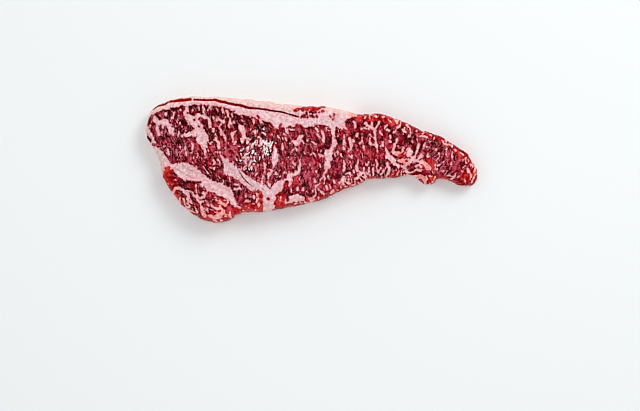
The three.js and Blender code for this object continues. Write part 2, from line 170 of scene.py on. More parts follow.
# The larger flecks of marbling, with a few painted highlights among them.
FLECKS = [
    # the eye
    [(-108.2, 33.6, 0.5), (-108.2, 32.8, 0.6)],
    [(-112.7, 32.8, 0.4), (-112.3, 31.8, 0.4)],
    [(-101.5, 35.3, 0.6), (-102.3, 32.6, 0.4), (-103.2, 30.7, 0.9)],
    [(-99, 34.5, 0.3), (-98.5, 32, 0.5)],
    [(-97.4, 36.6, 0.9), (-97.1, 35.6, 0.5)],
    [(-97.7, 26.6, 0.6), (-97.8, 25.7, 0.6)],
    [(-101.3, 25.8, 0.4), (-100.9, 24.5, 0.5)],
    [(-96, 24, 0.6), (-95.6, 22.3, 0.5)],
    [(-93.3, 21.5, 0.4), (-93.2, 20.8, 0.5)],
    [(-98.3, 20.3, 0.4), (-98.9, 18, 0.7), (-99.3, 16.4, 0.5)],
    [(-115, 25, 0.6), (-114.8, 22.5, 1.1), (-114, 20.5, 1), (-113.5, 18, 0.6)],
    [(-110.7, 24.3, 0.8), (-110.2, 22.8, 0.4)],
    [(-111.3, 19.8, 0.6), (-111.9, 18.2, 0.4)],
    [(-88.3, 36.3, 0.6), (-88.8, 35.2, 0.6)],
    [(-83.8, 38.5, 0.3), (-83.3, 36.3, 0.6)],
    [(-80.7, 39.3, 0.5), (-80.2, 37.8, 0.8), (-79.6, 36.2, 0.7)],
    [(-80, 35, 0.8), (-79.3, 33, 0.6), (-79.6, 31.5, 0.6)],
    [(-109.8, 9.7, 0.5), (-109.6, 9, 0.5)],
    [(-107.8, 8, 0.3), (-106.8, 5.5, 0.5), (-106, 3.7, 0.6)],
    [(-95, 7.2, 0.5), (-96.4, 5.6, 0.3)],
    [(-94, 8.7, 0.6), (-93.6, 8, 0.6)],
    [(-97.8, 9.2, 0.6), (-97.2, 8.8, 0.6)],
    [(-99.6, 4.2, 0.4), (-99.4, 2.8, 0.4)],
    [(-92.8, 4.6, 0.8), (-92.7, 2.6, 0.7)],
    [(-88.6, 12.8, 0.5), (-88.2, 10, 0.7), (-88.5, 8, 0.6)],
    [(-84.9, 4.2, 0.4), (-84.3, 2.4, 0.6), (-85.4, 0.6, 0.3)],
    [(-88.3, 5.8, 0.4), (-89, 4.2, 0.5)],
    [(-86.2, -0.6, 0.4), (-86.3, -2, 0.5)],
    [(-83.2, 0.3, 0.4), (-83, -0.9, 0.3)],
    # between the pool and the middle seam
    [(-75.2, 39.3, 0.3), (-76.2, 37.3, 0.5), (-77, 36, 0.4)],
    [(-70.3, 37.3, 0.3), (-69.2, 35.8, 0.5), (-69.3, 34.6, 0.4)],
    [(-66, 36.8, 0.4), (-65.8, 34.2, 0.5)],
    [(-63, 35.8, 0.5), (-61.8, 34, 0.8), (-62, 32, 0.5), (-60.6, 30, 0.5), (-60.6, 27.3, 0.5),
     (-61.3, 25, 0.7), (-60.5, 22.8, 0.3)],
    [(-59, 33, 0.5), (-58.6, 31.2, 0.5)],
    [(-73.2, 31.3, 0.4), (-72.7, 30, 0.6)],
    [(-68.5, 29.4, 0.3), (-66.5, 28, 0.5)],
    [(-72.4, 27.6, 0.3), (-71.6, 26.4, 0.6)],
    [(-70.6, 25.2, 0.4), (-70.2, 24.4, 0.5)],
    [(-66.6, 26, 0.4), (-67.9, 24.8, 0.5), (-67.8, 22.5, 0.4), (-66.3, 20, 0.7), (-64.6, 17, 0.7),
     (-63.6, 14.5, 0.8), (-62.8, 11.8, 0.6)],
    [(-64.3, 24.3, 0.3), (-64.1, 22, 0.4), (-65, 20.6, 0.3)],
    [(-72.4, 22.3, 0.4), (-72.3, 20.3, 0.7)],
    [(-72, 14.3, 0.6), (-73.8, 12.6, 0.5), (-75, 11.3, 0.7)],
    [(-67.7, 19.5, 0.4), (-67.1, 18, 0.5)],
    [(-56, 20.6, 0.6), (-58, 19.3, 1.2), (-58.7, 17.3, 1), (-58.2, 14.8, 0.8), (-58.3, 12.5, 0.4)],
    [(-57.3, 11, 0.8), (-56, 13, 0.4)],
    [(-57.7, 28, 0.4), (-57.6, 26.8, 0.5)],
    [(-52.3, 28.8, 0.3), (-50.5, 27.8, 0.5), (-49.2, 28, 0.3)],
    [(-76.5, 6.5, 0.6), (-76.2, 5.6, 0.5)],
    [(-63.9, 8.3, 0.5), (-64, 7.4, 0.4)],
    [(-73, -1, 0.4), (-71.8, -2.5, 0.5), (-73, -4.5, 0.5)],
    # painted highlight: a glint laid as a fleck
    [(-74.6, -6.2, 1), (-74.2, -6.9, 0.8)],
    [(-58, -2, 0.5), (-57.7, -3.6, 0.5)],
    # the middle
    [(-44.8, 22.5, 0.4), (-45.6, 21, 0.5)],
    # fat, and partly painted highlight where the wet patch glints
    [(-41.8, 20.5, 0.8), (-41.3, 18.6, 0.6), (-41.2, 17, 0.3)],
    [(-43, 30.3, 0.5), (-42.6, 28, 0.6), (-42.8, 26.4, 0.5)],
    [(-38, 29, 0.5), (-37.6, 26.6, 0.5)],
    # the next seven flecks, in the wet patch, are fat and partly painted highlight where the juice glints
    [(-39.4, 15.8, 0.9), (-38.2, 14.8, 0.8)],
    [(-36.8, 19.5, 0.5), (-35, 19, 0.6), (-34, 18, 0.5)],
    [(-38, 13, 0.8), (-36.8, 11, 0.8), (-38.5, 9.8, 0.7)],
    [(-42, 12.2, 0.8), (-44, 10, 0.7), (-43.5, 8, 0.5)],
    [(-47.6, 8, 0.9), (-47, 6, 0.6), (-49.2, 3, 0.5)],
    [(-47.2, 1.2, 0.8), (-48.7, -1.8, 0.6), (-48, -3.6, 0.5)],
    [(-44.5, 2, 0.4), (-44.6, -1.5, 0.7), (-46.5, -5.5, 0.6)],
    [(-30, 18.6, 0.6), (-29.7, 17.6, 0.6)],
    [(-24.8, 16.8, 0.5), (-24.2, 15.7, 0.6)],
    [(-18.2, 21, 0.6), (-17.3, 19, 0.8), (-16, 17, 0.6), (-15.5, 15, 0.3)],
    [(-19.6, 18.3, 0.4), (-19, 17.3, 0.6)],
    [(-19, 15, 0.7), (-18.6, 13.6, 0.6)],
    [(-17.8, 21.9, 0.4), (-14.5, 21.6, 0.4), (-11, 21.3, 0.5), (-9.6, 22.5, 0.4)],
    [(-14.3, 6.2, 0.4), (-12.3, 7.6, 0.5), (-10.8, 6.3, 0.6)],
    [(-3.4, 14.3, 0.4), (-3.2, 13.5, 0.6)],
    [(0.3, 12.8, 0.5), (1.5, 12, 0.7), (3, 10.8, 0.6)],
    [(7, 6.2, 0.6), (6.6, 5.4, 0.5)],
    [(4, 7.5, 0.4), (4.3, 6, 0.4)],
    [(2.6, 23, 0.5), (4, 21.5, 0.6), (5, 20, 0.4)],
    [(3.2, 19, 0.4), (5, 17.3, 0.5), (6.8, 15.7, 0.7), (8.5, 13.6, 0.9), (8.8, 12.8, 0.6)],
    [(7.3, 21.3, 0.4), (8, 19.2, 0.6), (8.7, 17, 0.6), (8.8, 15, 0.7)],
    [(9.8, 22.5, 0.4), (10.6, 20.5, 0.4)],
    [(-4.5, 21.5, 0.5), (-4, 19, 0.5), (-3.2, 17.5, 0.4)],
    [(-21.7, 11, 0.4), (-21.5, 8.5, 0.8), (-21.2, 5.5, 0.6), (-21, 3.5, 0.4)],
    [(-21.6, -3.3, 0.6), (-21.4, -2.6, 0.6)],
    [(-14, -1, 0.6), (-13.8, -2.8, 0.8)],
    [(-12.8, -3.4, 1), (-12.5, -4.6, 0.7)],
    [(-15.2, -5, 0.5), (-14.8, -5.6, 0.5)],
    [(-5.4, 4.8, 0.6), (-5, 4, 0.5)],
    [(-1.2, 3, 0.5), (-0.3, 3.2, 0.5)],
    [(1.2, 4.3, 0.5), (2.6, 3.6, 0.8), (3, 2.2, 0.7)],
    [(5, 3.6, 0.5), (6.3, 1.7, 0.4)],
    [(-26.3, -10.3, 0.6), (-25.7, -11.2, 0.5)],
    [(-21, -10.8, 0.7), (-20, -9.7, 0.6)],
    [(-10.4, -20.5, 0.5), (-10.2, -22.8, 0.6)],
    [(-1.3, -4.3, 0.5), (-1.2, -3.6, 0.5)],
    [(3.4, -9, 0.5), (3.7, -10.3, 0.6)],
    [(6.4, -4, 0.4), (6.9, -6, 0.4)],
    [(2, -14.5, 0.4), (2.4, -16.8, 0.6)],
    [(-6.6, -21.8, 0.6), (-6.2, -23.2, 0.8)],
    [(-4.2, -24.3, 0.5), (-3.4, -24, 0.5)],
    [(0.8, -23.6, 0.6), (1, -24.6, 0.6)],
    [(12.3, -13, 0.6), (12.8, -14.5, 0.7)],
    [(11.2, -20.4, 0.7), (11.7, -22.8, 0.7)],
    [(27.2, -15.3, 0.4), (27.5, -17.6, 0.6)],
    [(29.4, -15.2, 0.4), (29.6, -17.5, 0.5)],
    [(26.6, -12.9, 0.4), (28.8, -12.7, 0.4)],
    [(17.9, -20.3, 0.4), (18.3, -22.6, 0.5), (20, -23, 0.4)],
    [(21.6, -20.3, 0.6), (21.8, -21.8, 0.6)],
    [(20.5, -17.8, 0.5), (20.7, -18.6, 0.4)],
    [(13.3, -19.3, 0.5), (13.9, -20.8, 0.8), (14, -21.8, 0.5)],
    [(7, -24.3, 0.8), (8.3, -25.2, 1.1), (9, -26.2, 0.6)],
    [(5.2, -22, 0.4), (5.6, -23.5, 0.4)],
    [(15.8, -15.6, 0.5), (16.7, -17, 0.9), (17.4, -18.2, 0.7)],
    [(14.5, -25.3, 1), (16, -23.8, 1)],
    [(-23, -28.3, 0.5), (-22.8, -31, 0.6)],
    # to the right of the upright seam
    [(24.5, 23, 0.9), (25.8, 21.8, 0.5)],
    [(23.8, 17.5, 0.6), (24, 15.5, 0.7), (24, 13.5, 0.5), (23.8, 11, 0.5)],
    [(23.4, 9, 0.5), (24.4, 7, 0.6)],
    [(28, 15.5, 0.9), (28.6, 13.8, 0.9), (29.3, 12, 1.2), (29.3, 9.5, 1), (29, 7.2, 0.7)],
    [(30.5, 14, 0.7), (31.3, 13.2, 0.6)],
    [(27, 5.8, 0.7), (26.9, 5.1, 0.7)],
    [(27.2, 3.2, 0.5), (27.8, 1.3, 0.5)],
    [(33.8, 18.6, 0.9), (33.6, 17, 0.8)],
    [(37.4, 16, 0.5), (37.4, 13.5, 0.9), (38.5, 11, 0.8), (38.8, 8, 0.7), (39, 5.6, 0.6)],
    [(35.4, 11.6, 0.5), (37, 12.6, 0.7)],
    [(36.7, 22.8, 0.8), (36.8, 22, 0.7)],
    [(31, 28, 0.6), (32.2, 26.6, 0.8), (32.5, 24.8, 1), (32, 23, 0.7)],
    [(38.8, 26, 0.6), (40.3, 26.8, 0.7), (41, 25.5, 0.8), (42.7, 24.4, 0.7), (44.6, 23.6, 0.8),
     (46.3, 22.2, 1.1), (47, 19, 1), (47.2, 16, 0.8), (47.6, 13, 0.7), (48, 10.2, 1.1), (48.4, 7.5, 0.7),
     (48.7, 4, 0.4)],
    [(45, 26.6, 0.5), (44.8, 24.4, 0.6)],
    [(50.8, 28, 0.6), (49.8, 26, 0.9), (48.2, 24, 0.7), (47, 22.8, 0.7)],
    [(42.7, 18.4, 0.6), (43.6, 17, 0.5), (43, 14.5, 0.5), (43, 12.5, 0.9), (44.5, 11, 0.9),
     (46.6, 10.4, 0.6)],
    [(52.8, 12, 0.5), (53, 9.8, 0.5)],
    [(50.5, 21, 0.5), (51.4, 18.9, 0.6), (53, 17.4, 0.5)],
    [(58.4, 17.3, 0.5), (58.6, 15.5, 0.5)],
    [(57, 14, 0.5), (58.4, 12.5, 0.6)],
    [(54.7, 24.3, 0.5), (56.3, 25.3, 0.6)],
    [(55.5, 21.7, 0.5), (57.3, 21, 0.5)],
    [(21.5, 3.3, 0.6), (22, 1.6, 0.6)],
    [(19.3, 5.5, 0.5), (19.6, 3, 0.5)],
    [(17.3, 4.5, 0.4), (17.2, 2.3, 0.4)],
    [(24, -1.5, 0.7), (24.3, -3.5, 0.9), (23.8, -6, 0.6), (23.7, -8.6, 0.6)],
    [(34.6, -0.6, 0.5), (34, -3, 0.6), (34, -6, 0.6), (34, -9, 0.9)],
    [(31.3, -8.6, 0.6), (31.4, -9.8, 0.6)],
    [(42.3, -2.3, 0.5), (41.2, -4.4, 0.6)],
    [(42.5, -6.5, 0.5), (42.3, -9, 0.6), (43, -12, 0.6)],
    [(45.4, -7.3, 0.7), (45.9, -9.8, 0.8), (45.8, -12, 0.6)],
    [(47.8, -1, 0.5), (48.6, -3, 0.6), (48.3, -6, 0.5), (49, -9.5, 0.7)],
    [(51.6, -6.5, 0.4), (50.6, -8, 0.4)],
    [(53.8, -8, 0.6), (52.8, -10, 0.6), (51.5, -11.5, 0.6)],
    [(38.8, -6.5, 0.6), (38.8, -8.5, 1)],
    [(17.3, 3.2, 0.4), (17.6, 1.8, 0.4)],
    # the rim above, and on towards the tail
    [(32, 34, 1.1), (33.3, 32.6, 0.9)],
    [(39.8, 31.9, 0.6), (39.4, 30.8, 0.5)],
    [(43.2, 33.4, 0.5), (43, 30.2, 0.5)],
    [(47.5, 32.4, 0.8), (48.2, 31.6, 0.6)],
    [(52.5, 31.3, 0.6), (54, 31.9, 0.8)],
    [(58, 28.2, 0.7), (59.3, 27.2, 0.7)],
    [(66.3, 28, 0.6), (66, 26.2, 0.5), (65, 24.3, 0.9), (63.3, 22.9, 0.5), (62.2, 21, 0.4),
     (60.8, 19.6, 0.5)],
    [(71, 25.7, 0.7), (72, 24.2, 0.7)],
    [(69, 23.2, 0.6), (68.4, 21.5, 0.9), (69.8, 20.3, 0.8), (71, 19.5, 0.4)],
    [(73.4, 22.3, 0.6), (73.6, 21.4, 0.6)],
    [(78.6, 21.5, 0.7), (78, 20.8, 0.5)],
    [(72.3, 18.4, 0.4), (72.5, 17.1, 0.7)],
    [(75, 13.3, 0.7), (75, 12.7, 0.7)],
    [(82.5, 21, 0.5), (83.8, 20.3, 0.6)],
    [(80.5, 17.2, 0.6), (83, 17.4, 0.5), (85.5, 16.3, 0.4)],
    [(88, 18.5, 0.6), (89.5, 17.6, 0.4)],
    [(79.8, 11.5, 0.5), (79.3, 9, 0.9), (78.5, 6.5, 0.9), (77.5, 4.3, 0.6)],
    [(68.5, 9, 0.7), (68.8, 8, 0.6)],
    [(86.4, 4.6, 0.7), (86.5, 2.2, 0.8)],
    [(94.5, 4.2, 0.4), (95, 2.5, 0.4), (93.6, 0.2, 0.5), (92.4, -1.4, 0.4)],
    [(92.3, 7.4, 0.5), (92.6, 6.6, 0.5)],
    [(100.3, 9, 0.4), (100.2, 5.5, 0.5), (100, 2, 0.4)],
    [(104.6, 5, 0.4), (104.6, 1, 0.4), (103.8, -2, 0.4), (104, -4, 0.5)],
    [(98.6, 12, 0.4), (97.2, 14.4, 0.5)],
    [(100.4, 11, 0.6), (101.6, 10.5, 0.4)],
    [(70.4, -9.4, 0.9), (73.4, -9.9, 0.9), (76, -9.4, 0.7), (78, -8, 0.6), (80.8, -8.7, 0.8)],
    [(77, -5.4, 0.6), (78.6, -6.6, 0.5)],
    [(80.4, -12, 0.9), (82.4, -13, 1), (83.6, -15.4, 0.9), (85.2, -17.8, 0.7), (86, -20, 0.7)],
    # painted highlight on the nub, laid as a fleck
    [(85.3, -12.6, 0.6), (85.7, -14, 0.9), (86, -15.4, 0.6)],
    [(88.3, -12.5, 0.8), (89.2, -12.8, 0.7)],
    [(92, -13.5, 0.6), (91, -16.5, 0.6), (88.6, -19, 0.6), (86.4, -20.6, 0.6)],
    [(107, -10.8, 0.5), (106.5, -13, 0.5), (104.3, -14.6, 0.6)],
    [(109, -7.2, 0.5), (109.2, -7.8, 0.4)],
    [(112, -9.1, 0.6), (112.4, -9.3, 0.6)],
    [(114.6, -1.5, 0.5), (115.3, -2.4, 0.6)],
    [(113, -6.2, 0.5), (114.3, -5, 0.5)],
    [(116, -7.2, 0.9), (117, -8.6, 1.1), (118.2, -11.2, 0.7), (119, -12.8, 0.8)],
    [(122.7, -10.5, 0.5), (121.2, -14, 0.6), (119.8, -17, 0.6)],
    [(111, 5, 0.5), (113, 3.3, 0.5)],
    [(103, 10.8, 0.4), (104.2, 9.8, 0.5)],
    [(106.4, 7.2, 0.4), (107.8, 6.2, 0.5)],
    [(114.8, 1, 0.5), (113.8, -0.6, 0.4)],
    [(113.8, -14.8, 0.5), (114.8, -17, 0.4)],
    [(110.4, -12.4, 0.4), (109, -13.6, 0.5)],
    [(100, -12.4, 0.4), (103, -12.2, 0.5), (106, -13.4, 0.4)],
    [(96.6, -9.4, 0.4), (100, -8.6, 0.4)],
    # the small muscle below the seam
    [(-103.3, -24.7, 0.9), (-101.5, -22.4, 1.1), (-98.6, -21.4, 1.1), (-95.9, -22.8, 1.1),
     (-93.8, -24.8, 1.3), (-92, -26.4, 1.4), (-91.8, -29, 0.9), (-91.6, -32, 0.6), (-90.6, -35, 0.4)],
    [(-93.5, -23.6, 0.7), (-90.3, -23.8, 0.7), (-88.6, -25.2, 0.9), (-87, -27.2, 0.9), (-84.6, -28.8, 1)],
    [(-85.7, -19.6, 0.4), (-85.8, -22, 0.5), (-85.4, -24.6, 0.7), (-85, -26.6, 0.8), (-83.8, -28.6, 0.8),
     (-81.2, -28.6, 0.7), (-79.4, -27.6, 1.1), (-79.6, -25.8, 1.1), (-81.8, -25.2, 0.7)],
    [(-82.6, -32.4, 0.6), (-81, -31.4, 0.6), (-78.6, -31.2, 0.6), (-76.8, -32.6, 0.6), (-76, -34.4, 0.6)],
    [(-84.6, -29.6, 0.6), (-83.6, -31.6, 0.5), (-82.2, -33.8, 0.6), (-81.4, -36.6, 0.9), (-80.8, -40.4, 1.3),
     (-79, -42.5, 1.1)],
    [(-98.2, -29, 0.5), (-98.8, -32.6, 0.8)],
    [(-95.2, -29.5, 0.4), (-94.6, -32.5, 0.6), (-93.6, -35.4, 0.6), (-91, -38, 0.7), (-87.4, -39.6, 0.5)],
    [(-89.8, -30.5, 0.3), (-89, -33.2, 0.5)],
    [(-88.9, -37, 0.7), (-88.3, -37.8, 0.7)],
    [(-87, -33.6, 0.4), (-86.2, -36.4, 0.5), (-84.9, -39.8, 0.6)],
    [(-77.5, -36.8, 0.6), (-76.6, -39.5, 0.6)],
    [(-74.4, -33.6, 0.6), (-72.6, -35.6, 0.9), (-70.4, -37, 1), (-68.6, -36.8, 0.8)],
    [(-76.2, -42.2, 0.8), (-73.4, -43.2, 1.4), (-70, -43, 1.9), (-67.4, -41.2, 1.8), (-65.4, -38.9, 1.3)],
    [(-68.3, -31, 0.7), (-66.8, -33, 0.8)],
    [(-65, -33.6, 1), (-64, -34.4, 0.9)],
    [(-60.4, -38.9, 0.5), (-60.8, -42.5, 0.9)],
    # the muscle beside it
    [(-57, -19, 0.5), (-54.4, -19, 0.6)],
    [(-57, -22.3, 1), (-55, -22.5, 0.8)],
    [(-49, -26.8, 0.7), (-48.2, -28.3, 0.6)],
    [(-48, -31.2, 0.8), (-45.6, -31.3, 0.6)],
    [(-42.9, -27.8, 0.8), (-42.4, -28.5, 0.6)],
    [(-41.2, -24.6, 0.4), (-40.2, -27, 0.6), (-40, -30, 0.8), (-41, -32.2, 0.6)],
    [(-48.5, -35.3, 0.5), (-46.6, -36.4, 0.5)],
    [(-43.4, -33.3, 0.5), (-42.5, -33.3, 0.5)],
]

# Bits of lean that lie in the fat.
LEAN_BITS = [
    [(-119.3, 32, 0.7), (-120, 30, 1.5), (-120.7, 28, 1.1), (-121.7, 25.8, 0.8)],
    [(-123.4, 18, 1), (-122.2, 15.8, 1.4), (-120.3, 14, 1.2)],
    [(-118.5, 10.8, 0.7), (-116, 10.5, 1.1), (-113.8, 9.8, 1.1)],
    [(-103.8, -2.6, 0.9), (-102.8, -3.3, 0.6)],
    [(-107, -7.6, 1.9), (-106.3, -6.5, 1)],
    [(-22.7, 25.6, 0.4), (-23.3, 22.8, 0.9), (-21, 22.3, 0.7)],
    [(-16.9, 23.7, 0.5), (-15.3, 23.5, 0.8)],
    [(-11.3, 25.3, 0.4), (-11.6, 23.3, 0.9), (-12.7, 22.6, 0.5)],
    [(-8.5, 24.6, 0.9), (-7.5, 23, 1.5), (-6.8, 21, 1.1)],
    [(-12.8, 35.9, 0.6), (-11, 36.1, 1), (-9.3, 37, 0.8), (-7, 37.3, 1), (-5.4, 38.4, 1.2)],
    [(-7, 36.3, 0.7), (-6.3, 36.3, 0.7)],
    [(-4, 37.3, 1), (-2.2, 38, 1), (-0.3, 38.3, 0.8), (2, 37.6, 1.3), (3.7, 37, 1.1)],
    [(-3.5, 36.3, 0.6), (-2.9, 36.3, 0.6)],
    [(-0.2, 36.3, 0.6), (1.4, 36.1, 0.9)],
    [(1.2, 34.3, 0.8), (2.5, 34.7, 0.9)],
    [(-1.4, 34.8, 0.6), (-0.6, 34.7, 0.6)],
    [(5.3, 37.2, 0.8), (6.4, 38.4, 1), (8, 39.1, 0.7), (9.8, 38.6, 0.5)],
    [(7.5, 35.3, 0.6), (8.4, 35.8, 0.6)],
    [(5.5, 34.5, 0.4), (6.2, 34.8, 0.4)],
    [(-7.8, 30.9, 0.5), (-5.8, 32, 0.8), (-4.4, 32.6, 0.6)],
    [(-5.6, 31, 0.6), (-4.6, 30.9, 0.6)],
    [(-3.6, 33.9, 0.7), (-3.5, 32, 0.7), (-3.1, 30.7, 0.8)],
    [(-1.6, 32, 0.5), (0, 31.7, 0.7), (1.9, 31, 0.7)],
    [(3.5, 31.8, 0.5), (4, 31.2, 0.5)],
    [(16.5, 32.9, 0.5), (16.2, 31.9, 0.5)],
    [(16.3, 30, 0.5), (15.9, 29.3, 0.5)],
    [(13.4, 31.6, 0.2), (14.6, 30.7, 0.3)],
    [(-22, -25.6, 0.8), (-24, -27.6, 1.6), (-24, -31, 2), (-24.3, -33.6, 2.7)],
    [(-20.6, -26.6, 0.7), (-21.3, -30, 1), (-21.6, -33.5, 1.3)],
    [(-18.2, -27.8, 0.6), (-17.9, -30.6, 0.7)],
    [(-18.8, -17.8, 1.3), (-18.9, -21, 1.6), (-18.4, -24, 1.7)],
    [(-12, -14.5, 1.1), (-12.2, -18, 1.8), (-12.4, -22, 1.9), (-12.3, -24, 1.4)],
    [(-13.4, -32.5, 0.7), (-13.2, -32.6, 0.7)],
    [(-10.1, -32.2, 0.6), (-9.9, -32.3, 0.6)],
    [(-7, -32, 0.7), (-6.6, -31.9, 0.7)],
    [(-3.7, -28.4, 0.8), (-3.6, -30.6, 1.3), (-2.5, -31.3, 1)],
    [(3, -29.3, 0.6), (3.6, -28.4, 0.5)],
    [(-49.5, 12.6, 0.7), (-49.6, 11.6, 0.7)],
    [(-7.3, 11.4, 0.6), (-7, 10.8, 0.5)],
    [(-56.3, -16.5, 0.8), (-54.4, -16.8, 1)],
    [(-51, -21, 0.9), (-49.2, -21.1, 0.9)],
    [(-61.6, -14.2, 0.4), (-59.6, -13.6, 0.5), (-58.2, -14.7, 0.5)],
    [(-32.1, -29.2, 0.6), (-32, -29.7, 0.6)],
    [(-52.7, -33.4, 0.7), (-51.8, -33.5, 0.6)],
    [(-49.5, -35.6, 1.4), (-44, -35.3, 1.8), (-38, -34.8, 1.6)],
    [(-37.7, -25.6, 0.7), (-37.6, -28, 1.3), (-38, -30.5, 1)],
    [(62.7, 8.4, 0.5), (63.5, 6.9, 0.7), (64.7, 7.1, 0.5)],
    [(61.2, 2.5, 0.8), (62.5, 1.1, 0.8), (64.5, 0.7, 0.8), (67, 2.4, 0.8), (69, 4.7, 1.1), (70.2, 5.8, 0.7)],
    [(84.4, 3.4, 0.7), (83.3, 0.2, 0.7)],
    [(76.8, 7.4, 0.4), (76.4, 5, 0.6), (75, 2.7, 0.6)],
    [(81.4, 9, 0.7), (80.6, 5.5, 0.8), (79, 2.6, 0.6), (77.6, 0.5, 0.4)],
    [(72.4, 1, 0.3), (72.8, 0.8, 0.3)],
    [(70.2, -1.2, 0.6), (71, -1.6, 0.4)],
    [(63.3, -2.2, 0.4), (64.8, -2.9, 0.3)],
    [(86.8, 0.4, 1), (87, -1, 1.7), (89, -3, 1.3), (90.2, -6, 1), (90.4, -9, 0.9)],
    [(74, -3.9, 0.6), (71.8, -5.9, 0.7)],
    [(75.8, -4, 0.5), (77.4, -3.2, 0.6), (79, -3.3, 0.5)],
    [(73.4, -6.3, 0.5), (76, -7.7, 0.6)],
    [(80.8, -5.4, 0.6), (79.8, -6.6, 0.4)],
    [(82.3, -7.1, 0.8), (82.6, -7.6, 0.6)],
    [(89.4, -3.5, 0.9), (89.9, -6, 0.8), (89.9, -8.6, 0.7)],
    [(35.6, -8.5, 0.7), (35.4, -8.7, 0.6)],
    [(36.4, -13.7, 0.7), (37.4, -14.4, 0.6)],
    [(32.3, -12.1, 0.6), (32.6, -12.6, 0.5)],
]
